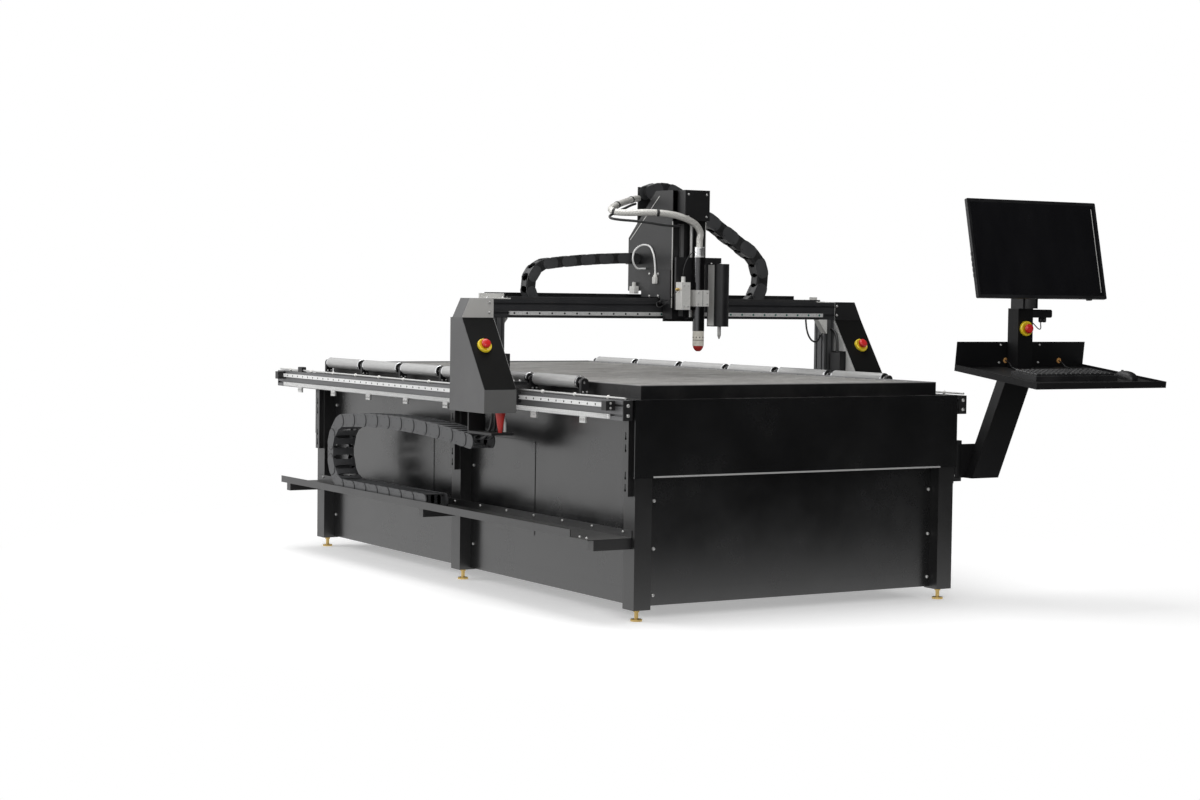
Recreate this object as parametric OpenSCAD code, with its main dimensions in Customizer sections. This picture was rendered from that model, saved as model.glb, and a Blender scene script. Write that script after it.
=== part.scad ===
// Gantry plasma cutting table with a slat bed, a travelling beam, a torch head and a side console.
// X is the width, Y the length with the console end at -Y, Z is up from the floor. Millimetres.

/* [Table] */
// outer width over the posts
table_width = 1550; // [1400:10:1800]
// outer length over the posts
table_length = 2914; // [2600:10:3200]
// height of the apron top above the floor
table_height = 846; // [780:2:920]
// post size across the width
post_w = 76; // [60:1:80]
// post size along the length
post_d = 80; // [60:1:90]
// wall of the post tube
post_wall = 4; // [3:0.5:6]
// height of the deep end apron
apron_height = 296; // [240:2:340]
// how far the apron stands out from the posts
apron_proud = 9; // [6:1:14]
// thickness of aprons, panels and covers
sheet = 3; // [2:0.5:4]
// how far the lower panels sit behind the posts
panel_inset = 52; // [46:1:58]
// gap between the panels and the post feet
panel_lift = 70; // [40:1:120]
// height of the bed tub rim above the apron
rim_height = 53; // [48:1:58]
// depth of the bed tub below the apron top
tub_depth = 150; // [110:1:200]
// number of slats across the bed
slat_count = 38; // [30:1:44]
// slat thickness
slat_t = 5; // [4:0.5:8]
// slat height
slat_h = 100; // [80:1:120]

/* [Feet] */
// height of the post ends above the floor
foot_height = 45; // [40:1:60]
// foot disc diameter
foot_disc = 46; // [40:1:56]
// foot stem diameter
foot_stem = 16; // [12:1:20]
// foot disc thickness
foot_pad = 8; // [6:0.5:12]
// lock nut width
foot_nut = 26; // [22:1:30]
// lock nut height
foot_nut_h = 10; // [8:0.5:14]

/* [Rails] */
// rail thickness across the table
rail_w = 40; // [36:1:46]
// rail height
rail_h = 76; // [70:1:82]
// gap between post and rail
rail_gap = 20; // [16:1:24]
// how far the rail top lies below the apron top
rail_drop = 2; // [1:0.5:5]
// rear overhang of the rails past the posts
rail_overhang = 349; // [300:1:400]
// T-slot mouth
slot_mouth = 8; // [7:0.5:9]
// T-slot inner width
slot_wide = 15; // [12:0.5:16]
// T-slot lip thickness
slot_lip = 3; // [2.5:0.25:4]
// T-slot depth under the lip
slot_deep = 6; // [5:0.25:6.5]
// linear guide width
guide_w = 16; // [14:0.5:18]
// linear guide height off its face
guide_h = 12; // [10:0.5:13]
// guide centre below the rail top
guide_drop = 21; // [19:0.5:23]
// free length of rail in front of the guide
guide_clear = 90; // [60:1:120]
// gear module of the racks and pinions
gear_module = 4; // [3.8:0.1:4.2]
// teeth on each pinion
pinion_teeth = 14; // [13:1:15]
// rack height
rack_h = 18; // [16:0.5:20]
// rack thickness behind the teeth
rack_back = 8; // [7:0.5:9]
// rack clamps along each rail
clamp_count = 8; // [6:1:10]
// clamp size
clamp_size = 44; // [30:1:50]

/* [Rollers] */
// load rollers on each long side
roller_count = 6; // [5:1:6]
// roller diameter
roller_d = 50; // [44:1:54]
// roller length
roller_length = 350; // [300:1:360]
// spacing of the rollers
roller_pitch = 402; // [385:1:408]
// rear end of the rearmost roller
roller_rear = 1346; // [1320:1:1370]
// roller axle diameter
axle_d = 14; // [10:0.5:16]
// roller top above the bed rim
roller_proud = 22; // [18:1:26]

/* [Gantry] */
// front face of the beam along the table
beam_front = -499; // [-540:1:-460]
// beam height and depth
beam_size = 76; // [70:1:80]
// underside of the beam above the apron top
beam_lift = 296; // [264:1:334]
// housing inner edge from the centre line
housing_in = 873; // [868:0.5:880]
// housing outer face from the centre line
housing_out = 1020; // [1010:1:1040]
// housing outer face at its top
housing_top = 983; // [970:1:1000]
// reach of the sloped panel in front of the beam
front_reach = 201; // [185:1:215]
// foot of the sloped panel above the apron top
front_step = 7; // [0:1:19]
// lower edge of the housings below the apron top
housing_drop = 86; // [76:1:101]
// rear reach of the housings behind the beam front
housing_rear = 96; // [90:1:110]
// upright width
upright_w = 54; // [46:1:56]
// base plate thickness
base_t = 12; // [10:0.5:14]
// base plate underside above the rail top
base_lift = 30; // [26:0.5:36]
// drive motor size
motor_size = 70; // [60:1:74]
// drive motor height
motor_h = 110; // [90:1:120]

/* [Torch head] */
// torch axis across the table
torch_x = 16; // [-40:1:60]
// torch axis in front of the beam
torch_reach = 184; // [181:0.5:190]
// torch tip below the beam
tip_drop = 135; // [112:1:142]
// torch barrel diameter
torch_d = 50; // [46:0.5:52]
// torch barrel length
torch_length = 311; // [290:1:330]
// torch retaining cap length
cap_length = 63; // [54:1:70]
// torch tip length
tip_length = 23; // [18:1:28]
// torch collar length
collar_length = 44; // [36:1:50]
// head width
head_w = 170; // [164:1:180]
// head top above the beam
head_rise = 470; // [452:1:492]
// front plate in front of the beam
head_front = 103; // [100:0.5:106]
// rear of the head cover behind the beam front
head_rear = 248; // [240:1:260]
// tool plate thickness
tool_plate = 12; // [10:0.5:14]
// marker housing width
marker_w = 70; // [62:1:74]
// marker housing depth
marker_d = 85; // [76:1:92]
// marker housing height
marker_h = 266; // [250:1:280]
// scribe diameter
scribe_d = 16; // [12:0.5:18]

/* [Cable carriers] */
// bend radius of the gantry carrier
carrier_r = 142; // [130:1:155]
// link pitch of the gantry carrier
carrier_pitch = 60; // [56:1:64]
// link height of the gantry carrier
carrier_h = 60; // [54:1:64]
// width of the gantry carrier
carrier_w = 110; // [100:1:118]
// fixed run of the gantry carrier
carrier_length = 866; // [840:1:900]
// bend radius of the beam carrier
cross_r = 113; // [105:1:120]
// link pitch of the beam carrier
cross_pitch = 45; // [42:1:48]
// link height of the beam carrier
cross_h = 46; // [42:1:50]
// link pitch of the lead carrier
lead_pitch = 57; // [55:1:60]
// link height of the lead carrier
lead_h = 60; // [54:1:64]
// width of the beam and lead carriers
cross_w = 58; // [50:1:60]

/* [Console] */
// console tray width
tray_w = 700; // [640:1:740]
// console tray depth
tray_d = 500; // [460:1:540]
// console tray tilt, degrees
tray_tilt = 6.5; // [4:0.5:9]
// console tray middle above the apron top
desk_lift = 89; // [69:1:104]
// console tray centre across the table
tray_x = 1106; // [1080:1:1130]
// console tray rear edge in front of the posts
tray_gap = 17; // [15:1:30]
// monitor width
monitor_w = 672; // [600:1:700]
// monitor height
monitor_h = 412; // [370:1:420]
// monitor thickness
monitor_t = 46; // [36:1:54]
// console arm tube width
arm_w = 130; // [110:1:140]
// console arm tube depth
arm_d = 56; // [48:1:64]

/* [Hidden] */
$fn = 32;
overrun = 1;
gap = 0.3;
run_fit = 0.05;
half_w = table_width/2;
half_l = table_length/2;
beam_bottom = table_height + beam_lift;
slope_foot = table_height + front_step;
housing_low = table_height - housing_drop;
torch_tip = beam_bottom - tip_drop;
head_top = beam_bottom + beam_size + head_rise;
tray_z = table_height + desk_lift;
module box(x0, x1, y0, y1, z0, z1) {
  translate([x0, y0, z0])
    cube([x1 - x0, y1 - y0, z1 - z0]);
}
module both() {
  children();
  mirror([1, 0, 0])
    children();
}
module ends() {
  children();
  mirror([0, 1, 0])
    children();
}
module along_y(y0, y1) {
  translate([0, y1, 0])
    rotate([90, 0, 0])
      linear_extrude(y1 - y0)
        children();
}
module along_x(x0, x1) {
  translate([x0, 0, 0])
    rotate([90, 0, 90])
      linear_extrude(x1 - x0)
        children();
}
module place() {
  translate([-origin_x, -origin_y, 0])
    children();
}
// one T-slot cut into the lower edge of a profile, its mouth centred on the origin
module slot_cut() {
  translate([-slot_mouth/2, -overrun])
    square([slot_mouth, slot_lip + 2*overrun]);
  translate([-slot_wide/2, slot_lip])
    square([slot_wide, slot_deep]);
}
// slotted bar profile with its lower left corner at the origin
module bar_profile(w, h) {
  across = w > 1.5*slot_wide*2 ? [w/4, 3*w/4] : [w/2];
  upward = h > 1.5*slot_wide*2 ? [h/4, 3*h/4] : [h/2];
  difference() {
    square([w, h]);
    for (p = across) {
      translate([p, 0])
        slot_cut();
      translate([p, h])
        rotate(180)
          slot_cut();
    }
    for (p = upward) {
      translate([0, p])
        rotate(-90)
          slot_cut();
      translate([w, p])
        rotate(90)
          slot_cut();
    }
  }
}

// posts and frame
post_share = [-1, 0, 1];
module at_posts() {
  for (sx = [-1, 1], sy = post_share)
    translate([sx*(half_w - post_w/2), sy*(half_l - post_d/2), 0])
      children();
}
post_top = table_height - sheet;
module posts() {
  color("#3a3c3e")
    place()
      difference() {
        at_posts()
          translate([0, 0, foot_height])
            difference() {
              translate([-post_w/2, -post_d/2, 0])
                cube([post_w, post_d, post_top - foot_height]);
              translate([-post_w/2 + post_wall, -post_d/2 + post_wall, post_wall])
                cube([post_w - 2*post_wall, post_d - 2*post_wall, post_top]);
            }
        box(-tub_x, tub_x, -tub_y, tub_y, tub_floor - sheet, tub_top);
      }
}
module levelling_feet() {
  color("#b59a4c")
    place()
      at_posts() {
        cylinder(d = foot_disc, h = foot_pad);
        translate([0, 0, foot_pad])
          cylinder(d = foot_stem, h = foot_height - foot_pad);
        translate([0, 0, foot_height - foot_nut_h])
          cylinder(d = foot_nut, h = foot_nut_h, $fn = 6);
      }
}
apron_half = half_w + apron_proud;
apron_low = table_height - apron_height;
tub_x = half_w - panel_inset - sheet;
tub_y = half_l - panel_inset - sheet;
tub_top = table_height + rim_height;
apron_half_l = half_l + apron_proud;
module aprons() {
  color("#2f3133")
    place()
      ends() {
        box(-apron_half, apron_half, -apron_half_l, -apron_half_l + sheet, apron_low, table_height);
        box(-apron_half, apron_half, -apron_half_l + sheet, -tub_y, post_top, table_height);
        box(-apron_half, apron_half, -apron_half_l + sheet, -half_l, apron_low, apron_low + sheet);
      }
}
panel_low = foot_height + panel_lift;
module panels() {
  color("#55575a")
    place() {
      ends()
        box(-half_w + post_w, half_w - post_w, -half_l + panel_inset, -half_l + panel_inset + sheet,
          panel_low, apron_low);
      both()
        ends()
          box(-half_w + panel_inset, -half_w + panel_inset + sheet, post_d/2, half_l - post_d,
            panel_low, post_top - frame_h);
    }
}
frame_w = 50;
frame_h = 60;
frame_x = half_w - panel_inset - sheet;
tub_floor = table_height - tub_depth;
cross_share = [-0.5, 0, 0.5];
module bed_frame() {
  color("#3a3c3e")
    place() {
      both()
        ends()
          box(-half_w, -half_w + frame_w, post_d/2, half_l - post_d, post_top - frame_h, post_top);
      both()
        ends()
          box(-half_w, -tub_x, 0, tub_y, post_top, table_height);
      both()
        ends()
          box(-frame_x, -frame_x + frame_w, post_d/2, half_l - post_d,
            tub_floor - sheet - frame_h, tub_floor - sheet);
      for (s = cross_share)
        box(-frame_x + frame_w, frame_x - frame_w, s*half_l - frame_w/2, s*half_l + frame_w/2,
          tub_floor - sheet - frame_h, tub_floor - sheet);
    }
}
module bed_tub() {
  color("#6f7276")
    place() {
      box(-tub_x, tub_x, -tub_y, tub_y, tub_floor - sheet, tub_floor);
      both()
        box(-tub_x, -tub_x + sheet, -tub_y, tub_y, tub_floor, tub_top);
      ends()
        box(-tub_x + sheet, tub_x - sheet, -tub_y, -tub_y + sheet, tub_floor, tub_top);
    }
}
slat_top = tub_top - sheet;
slat_clear = 20;
slat_rack_t = 6;
slat_half = tub_x - sheet - slat_clear;
slat_pitch = 2*(tub_y - sheet - slat_clear)/(slat_count + 1);
rack_seat = slat_top - slat_h/2;
module slat_at(fit) {
  for (i = [1:slat_count])
    translate([0, -tub_y + sheet + slat_clear + i*slat_pitch - slat_t/2 - fit, 0])
      children();
}
module slats() {
  color("#8d9094")
    place()
      slat_at(0)
        difference() {
          translate([-slat_half, 0, slat_top - slat_h])
            cube([2*slat_half, slat_t, slat_h]);
          both()
            translate([-slat_half + slat_clear, -overrun, slat_top - slat_h - overrun])
              cube([slat_rack_t + 2*gap, slat_t + 2*overrun, slat_h/2 + overrun]);
        }
}
module slat_racks() {
  color("#77797c")
    place()
      both()
        difference() {
          box(-slat_half + slat_clear + gap, -slat_half + slat_clear + gap + slat_rack_t,
            -tub_y + sheet, tub_y - sheet, tub_floor, slat_top - slat_h/4);
          slat_at(gap)
            translate([-slat_half, 0, rack_seat])
              cube([slat_half, slat_t + 2*gap, slat_h]);
        }
}

// rails with their guides and racks
rail_in = half_w + rail_gap;
rail_out = rail_in + rail_w;
rail_top = table_height - rail_drop;
rail_low = rail_top - rail_h;
rail_front = -half_l;
rail_rear = half_l + rail_overhang;
module rails() {
  color("#9a9da1")
    place()
      both()
        along_y(rail_front, rail_rear)
          translate([-rail_out, rail_low])
            bar_profile(rail_w, rail_h);
}
guide_z = rail_top - guide_drop;
guide_waist = 3;
module guide_profile() {
  difference() {
    translate([0, -guide_w/2])
      square([guide_h, guide_w]);
    for (s = [-1, 1])
      translate([guide_h*0.45, s*guide_w/2 - guide_waist/2])
        square([guide_h*0.25, guide_waist]);
  }
}
module rail_guides() {
  color("#dfe2e5")
    place()
      both()
        along_y(rail_front + guide_clear, rail_rear - guide_clear)
          translate([-rail_out - guide_h, guide_z])
            guide_profile();
}
// rack and pinion teeth: straight flanks at twenty degrees with some backlash
tooth_pitch = PI*gear_module;
tooth_up = 0.8*gear_module;
tooth_down = gear_module;
pitch_r = gear_module*pinion_teeth/2;
flank = tan(20);
backlash = 0.9;
rack_depth = rack_back + tooth_up + tooth_down;
rack_line = rack_back + tooth_down;
function rack_tooth(i) = [
  [i*tooth_pitch - tooth_pitch/4 + backlash/2 - tooth_down*flank, 0],
  [i*tooth_pitch - tooth_pitch/4 + backlash/2 + tooth_up*flank, tooth_up + tooth_down],
  [i*tooth_pitch + tooth_pitch/4 - backlash/2 - tooth_up*flank, tooth_up + tooth_down],
  [i*tooth_pitch + tooth_pitch/4 - backlash/2 + tooth_down*flank, 0]];
// rack outline along +X from the origin, teeth towards +Y, one tooth centred on the mark
module rack_profile(run, mark) {
  low = ceil((tooth_pitch/2 - mark)/tooth_pitch);
  high = floor((run - tooth_pitch/2 - mark)/tooth_pitch);
  polygon(concat([[0, -rack_back], [0, 0]],
    [for (i = [low:high], p = rack_tooth(i)) [p[0] + mark, p[1]]],
    [[run, 0], [run, -rack_back]]));
}
module pinion_profile() {
  root = pitch_r - tooth_down;
  tip = pitch_r + tooth_up;
  half_at = tooth_pitch/4 - backlash/2;
  polygon([for (i = [0:pinion_teeth - 1]) each [
    for (c = [[root, -1.32], [pitch_r - tooth_down/3, -1.15], [pitch_r, -1], [tip, -0.48],
      [tip, 0.48], [pitch_r, 1], [pitch_r - tooth_down/3, 1.15], [root, 1.32]])
      let (a = i*360/pinion_teeth + c[1]*half_at/pitch_r*180/PI)
        [c[0]*cos(a), c[0]*sin(a)]]]);
}
rack_gap = 4;
rack_z = rail_low + rack_gap;
drive_x = rail_out + rack_line + pitch_r;
drive_ahead = 53;
drive_y = beam_front - drive_ahead;
module gear_racks() {
  color("#c9ccd0")
    place()
      both()
        translate([-rail_out - rack_back, rail_front + guide_clear, rack_z])
          rotate([0, 0, 90])
            linear_extrude(rack_h)
              rack_profile(rail_rear - rail_front - 2*guide_clear,
                drive_y - rail_front - guide_clear + tooth_pitch/2);
}
end_plate = 5;
stop_l = 34;
stop_w = 40;
stop_h = 36;
rod_d = 8;
rod_lift = 8;
rod_posts = 13;
rod_inset = 12;
clamp_t = 26;
module rail_fittings() {
  color("#a9acb0")
    place()
      both() {
        for (y = [rail_front - end_plate, rail_rear])
          box(-rail_out, -rail_in, y, y + end_plate, rail_low, rail_top);
        box(-rail_out - stop_w, -rail_out, rail_front + guide_clear - stop_l - gap,
          rail_front + guide_clear - gap, guide_z - stop_h/2, guide_z + stop_h/2);
        box(-rail_out - stop_w, -rail_out, rail_rear - guide_clear + gap,
          rail_rear - guide_clear + stop_l + gap, guide_z - stop_h/2, guide_z + stop_h/2);
        for (i = [0:clamp_count - 1])
          let (y = rail_front + guide_clear + (i + 0.5)*(rail_rear - rail_front - 2*guide_clear)/clamp_count)
            box(-rail_out - rack_back, -rail_out, y - clamp_size/2, y + clamp_size/2,
              rack_z - clamp_t, rack_z);
        difference() {
          translate([-rail_out + rod_inset, rail_rear, rail_top + rod_lift])
            rotate([90, 0, 0])
              cylinder(d = rod_d, h = rail_rear - rail_front);
          box(-rail_out, -rail_in, rail_front - overrun, rail_rear + overrun,
            rail_low, rail_top);
        }
        for (i = [0:rod_posts - 1])
          translate([-rail_out + rod_inset,
            rail_front + (i + 0.5)*(rail_rear - rail_front)/rod_posts, rail_top])
            cylinder(d = rod_d*0.6, h = rod_lift);
      }
}
strut_w = 40;
strut_low = 289;
keyhole_d = 12;
keyhole_shares = [0.24, 0.4, 0.76, 0.92];
strut_share = [-0.985, -0.34, 0.34, 0.985];
module rail_brackets() {
  color("#4b4d50")
    place()
      both() {
        for (s = post_share)
          let (y = s*(half_l - post_d/2))
            difference() {
              box(-rail_in, -half_w, y - strut_w/2, y + strut_w/2, rail_low - strut_low, post_top);
              for (k = keyhole_shares)
                translate([-rail_in - overrun, y, rail_low - k*strut_low]) {
                  rotate([0, 90, 0])
                    cylinder(d = keyhole_d, h = rail_gap + 2*overrun);
                  translate([0, -keyhole_d/4, 0])
                    cube([rail_gap + 2*overrun, keyhole_d/2, 2*keyhole_d]);
                }
            }
        for (s = strut_share)
          box(-rail_in, -half_w, s*(half_l/2) - strut_w/2, s*(half_l/2) + strut_w/2,
            rail_low, post_top);
      }
}

// load rollers
roller_z = tub_top + roller_proud - roller_d/2;
roller_x = (tub_x + rail_in)/2;
bracket_t = 8;
bracket_w = 34;
roller_ends = [for (i = [0:roller_count - 1]) roller_rear - i*roller_pitch];
end_gap = (roller_pitch - roller_length)/2;
module roller_brackets() {
  color("#232527")
    place()
      both()
        for (i = [0:roller_count])
          let (y = roller_rear + end_gap - i*roller_pitch)
            difference() {
              union() {
                box(-roller_x - bracket_w/2, -roller_x + bracket_w/2, y - bracket_t, y + bracket_t,
                  table_height, roller_z);
                translate([-roller_x, y + bracket_t, roller_z])
                  rotate([90, 0, 0])
                    cylinder(d = bracket_w, h = 2*bracket_t);
              }
              translate([-roller_x, y + bracket_t + overrun, roller_z])
                rotate([90, 0, 0])
                  cylinder(d = axle_d + 2*run_fit, h = 2*bracket_t + 2*overrun);
            }
}
axle_stub = 7;
module roller_row() {
  for (y = roller_ends)
    translate([-roller_x, y, roller_z])
      rotate([90, 0, 0]) {
        cylinder(d = roller_d, h = roller_length);
        translate([0, 0, -end_gap + bracket_t - axle_stub])
          cylinder(d = axle_d, h = roller_length + 2*(end_gap - bracket_t + axle_stub));
      }
}
module rollers_left() {
  color("#a4a7ab")
    place()
      roller_row();
}
module rollers_right() {
  color("#a4a7ab")
    place()
      mirror([1, 0, 0])
        roller_row();
}

// cable carriers: links on a path of segments, each one given by its length and its turn in degrees
function arc_pt(p, a, l, turn, s) =
  turn == 0 ? p + s*[cos(a), sin(a)]
  : let (r = l/turn*180/PI, t = a + turn*s/l) p + r*[sin(t) - sin(a), cos(a) - cos(t)];
function carrier_pt(segs, s, i = 0, p = [0, 0], a = 0) =
  let (l = segs[i][0], turn = segs[i][1])
    s <= l || i == len(segs) - 1 ? arc_pt(p, a, l, turn, s)
    : carrier_pt(segs, s - l, i + 1, arc_pt(p, a, l, turn, l), a + turn);
function bend(r, turn) = [r*turn*PI/180, turn];
function total(segs, i = 0) = i == len(segs) ? 0 : segs[i][0] + total(segs, i + 1);
link_wall = 4;
link_bar = 9;
// one link lying along +X from its first pin, height along Y, width along Z
module link(pitch, h, w, outer) {
  side = outer ? w/2 - link_wall : w/2 - 2*link_wall - gap;
  cut = h*0.28;
  long = pitch + h*0.72;
  for (m = [0, 1])
    mirror([0, 0, m])
      translate([pitch/2, 0, side])
        linear_extrude(link_wall)
          polygon([[-long/2, -h/2 + cut], [-long/2 + cut, -h/2], [long/2 - cut, -h/2], [long/2, -h/2 + cut],
            [long/2, h/2 - cut], [long/2 - cut, h/2], [-long/2 + cut, h/2], [-long/2, h/2 - cut]]);
  for (v = [-h/2, h/2 - link_wall])
    translate([pitch/2 - link_bar/2, v, -side])
      cube([link_bar, link_wall, 2*side]);
}
module carrier(segs, pitch, h, w) {
  for (k = [0:floor(total(segs)/pitch) - 1])
    let (p = carrier_pt(segs, k*pitch), q = carrier_pt(segs, (k + 1)*pitch))
      translate([p[0], p[1], 0])
        rotate([0, 0, atan2(q[1] - p[1], q[0] - p[0])])
          link(pitch, h, w, k % 2 == 0);
}
carrier_x = -905;
carrier_fix = -59;
carrier_drop = 494;
carrier_low = table_height - carrier_drop;
carrier_tip = -478;
carrier_path = [[carrier_length, 0], bend(carrier_r, 180), [carrier_fix + carrier_length - carrier_tip, 0]];
module gantry_chain() {
  color("#6b6e72")
    place()
      translate([carrier_x, carrier_fix, carrier_low])
        rotate([90, 0, 90])
          carrier(carrier_path, carrier_pitch, carrier_h, carrier_w);
}
trough_front = -1440;
trough_rear = 1440;
trough_lip = 28;
trough_side = 12;
trough_tongue = 130;
trough_x = -carrier_x + carrier_w/2 + trough_side;
trough_z = carrier_low - carrier_h/2;
trough_arm = 40;
module chain_trough() {
  color("#5d6063")
    place() {
      box(-trough_x, -half_w, trough_front, trough_rear, trough_z - sheet, trough_z);
      box(-trough_x, -trough_x + sheet, trough_front + trough_tongue, trough_rear, trough_z, trough_z + trough_lip);
      box(-half_w - sheet, -half_w, trough_front, trough_rear, trough_z, trough_z + trough_lip);
      for (s = post_share)
        let (y = s*(half_l - post_d/2))
          box(-trough_x + trough_lip, -half_w, y - trough_arm/2, y + trough_arm/2,
            trough_z - sheet - trough_arm, trough_z - sheet);
    }
}

// gantry
beam_rear = beam_front + beam_size;
beam_top = beam_bottom + beam_size;
beam_in = 60;
beam_half = housing_in + beam_in;
module beam() {
  color("#3c3e41")
    place()
      along_x(-beam_half, beam_half)
        translate([beam_front, beam_bottom])
          bar_profile(beam_size, beam_size);
}
beam_guide_z = beam_bottom + beam_size/4;
beam_guide_half = 800;
top_guide_y = beam_front + beam_size/4;
cross_rack_y = beam_rear;
cross_mesh_y = cross_rack_y + rack_line + pitch_r;
cross_rack_z = beam_top - rack_h - rack_gap;
module beam_fittings() {
  color("#dfe2e5")
    place() {
      along_x(-beam_guide_half, beam_guide_half)
        translate([beam_front - guide_h, beam_guide_z])
          guide_profile();
      along_x(-beam_guide_half, beam_guide_half)
        translate([top_guide_y, beam_top + guide_h])
          rotate(-90)
            guide_profile();
      translate([-beam_guide_half, cross_rack_y + rack_back, cross_rack_z])
        linear_extrude(rack_h)
          rack_profile(2*beam_guide_half, beam_guide_half + torch_x + tooth_pitch/2);
    }
}
tray_lift = 10;
tray_floor = beam_bottom + tray_lift;
tray_wall = 94;
tray_clear = 72;
tray_side = 8;
cross_y = beam_rear + tray_clear + cross_w/2;
shelf_rear = cross_y + cross_w/2 + tray_side;
module beam_tray() {
  color("#85888c")
    place() {
      box(-beam_guide_half, beam_guide_half, beam_rear, shelf_rear, tray_floor - sheet, tray_floor);
      box(-beam_guide_half, beam_guide_half, shelf_rear - sheet, shelf_rear, tray_floor, tray_floor + tray_wall);
    }
}
base_low = rail_top + base_lift;
base_top = base_low + base_t;
module uprights() {
  color("#44474a")
    place()
      both()
        translate([-housing_in, beam_front, base_top])
          linear_extrude(beam_bottom - base_top)
            bar_profile(upright_w, beam_size);
}
base_step = 10;
base_in = rail_in + base_step;
base_out = housing_out - sheet;
slope_share = (beam_bottom - base_top)/(beam_bottom - slope_foot);
base_front = beam_front - sheet - front_reach*slope_share + 2*sheet + gap;
base_rear = beam_front + housing_rear - sheet;
bearing_w = 44;
bearing_t = 30;
cheek_in = rail_out + gap + bearing_t;
cheek_l = 90;
shaft_d = 16;
module bearing_cut() {
  offset(delta = gap)
    guide_profile();
}
module gantry_bases() {
  color("#26282a")
    place()
      both() {
        difference() {
          box(-base_out, -base_in, base_front, base_rear, base_low, base_top);
          translate([-drive_x, drive_y, base_low - overrun])
            cylinder(d = shaft_d + 2*run_fit + gap, h = base_t + 2*overrun);
        }
        for (y = [base_front, base_rear - cheek_l]) {
          box(-cheek_in - base_t, -cheek_in, y, y + cheek_l, guide_z - bearing_w/2, base_low);
          along_y(y, y + cheek_l)
            difference() {
              translate([-cheek_in, guide_z - bearing_w/2])
                square([bearing_t - gap, bearing_w]);
              translate([-rail_out - guide_h, guide_z])
                bearing_cut();
              translate([-rail_out - guide_h/2, guide_z - guide_w/2 - gap])
                square([guide_h, guide_w + 2*gap]);
            }
        }
      }
}
// side outline of a housing in Y and Z, drawn in by the wall
function side_outline(wall) = [
  [beam_front - sheet + wall, beam_bottom + overrun],
  [beam_front - sheet - front_reach + wall, slope_foot - wall*flank],
  [beam_front - sheet - front_reach + wall, wall > 0 ? housing_low - overrun : housing_low],
  [beam_front + housing_rear - wall, wall > 0 ? housing_low - overrun : housing_low],
  [beam_front + housing_rear - wall, beam_bottom + overrun]];
cap_rear = beam_rear + sheet;
module housing() {
  difference() {
    along_x(housing_in, housing_out)
      polygon([for (p = side_outline(0)) [p[0], min(p[1], beam_bottom)]]);
    along_x(housing_in - overrun, housing_out - sheet)
      polygon(side_outline(sheet));
  }
  difference() {
    along_y(beam_front - sheet, cap_rear)
      polygon([[housing_in, beam_bottom], [housing_out, beam_bottom], [housing_top, beam_top + sheet],
        [housing_in, beam_top + sheet]]);
    along_y(beam_front, cap_rear - sheet)
      polygon([[housing_in - overrun, beam_bottom - overrun], [housing_out - sheet, beam_bottom - overrun],
        [housing_top - sheet, beam_top], [housing_in - overrun, beam_top]]);
  }
  box(housing_in, housing_out - sheet, cap_rear - sheet, beam_front + housing_rear,
    beam_bottom - sheet, beam_bottom);
}
module left_housing() {
  color("#606367")
    place()
      mirror([1, 0, 0])
        housing();
}
module right_housing() {
  color("#606367")
    place()
      housing();
}
module drive_motors() {
  color("#1f2022")
    place()
      both()
        difference() {
          box(-drive_x - motor_size/2, -drive_x + motor_size/2, drive_y - motor_size/2, drive_y + motor_size/2,
            base_top, base_top + motor_h);
          translate([-drive_x, drive_y, base_top - overrun])
            cylinder(d = shaft_d + 2*run_fit, h = motor_h/2);
        }
}
shaft_up = 20;
module pinion(sx) {
  translate([sx*drive_x, drive_y, rack_z]) {
    rotate([0, 0, sx > 0 ? 180 : 0])
      linear_extrude(rack_h)
        pinion_profile();
    translate([0, 0, rack_h])
      cylinder(d = shaft_d, h = base_top + shaft_up - rack_z - rack_h);
  }
}
module pinion_left() {
  color("#b8bbbf")
    place()
      pinion(-1);
}
module pinion_right() {
  color("#b8bbbf")
    place()
      pinion(1);
}
// emergency stops on the sloped panels
stop_share = 0.4;
stop_shift = 12;
stop_x = (housing_in + housing_out)/2 + stop_shift;
slope_angle = atan2(front_reach, beam_bottom - slope_foot);
ring_d = 62;
ring_h = 12;
knob_d = 40;
knob_h = 15;
stem_d = 22;
knob_travel = 5;
module on_slope(sx) {
  translate([sx*stop_x, beam_front - sheet - stop_share*front_reach,
    beam_bottom - stop_share*(beam_bottom - slope_foot)])
    rotate([90 - slope_angle, 0, 0])
      children();
}
module stop_ring() {
  difference() {
    cylinder(d = ring_d, h = ring_h);
    translate([0, 0, sheet])
      cylinder(d = stem_d + 2*run_fit, h = ring_h);
  }
}
module stop_knob() {
  translate([0, 0, sheet + knob_travel + gap])
    cylinder(d = stem_d, h = ring_h - sheet);
  translate([0, 0, ring_h + knob_travel + gap])
    cylinder(d1 = knob_d*0.82, d2 = knob_d, h = knob_h*0.7);
  translate([0, 0, ring_h + knob_travel + gap + knob_h*0.7])
    cylinder(d1 = knob_d, d2 = knob_d*0.86, h = knob_h*0.3);
}
module estop_bases() {
  color("#e3b81c")
    place()
      for (sx = [-1, 1])
        on_slope(sx)
          stop_ring();
}
module button_left() {
  color("#b8131a")
    place()
      on_slope(-1)
        stop_knob();
}
module button_right() {
  color("#b8131a")
    place()
      on_slope(1)
        stop_knob();
}
cross_low = tray_floor + cross_h/2;
cross_fix = 40;
cross_length = 602;
cross_tip = -80;
cross_path = [[cross_length, 0], bend(cross_r, 180), [cross_length - cross_fix + cross_tip, 0]];
module beam_chain() {
  color("#4e5155")
    place()
      translate([cross_fix, cross_y, cross_low])
        mirror([1, 0, 0])
          rotate([90, 0, 0])
            carrier(cross_path, cross_pitch, cross_h, cross_w);
}
lead_fix = 110;
lead_length = 332;
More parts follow.
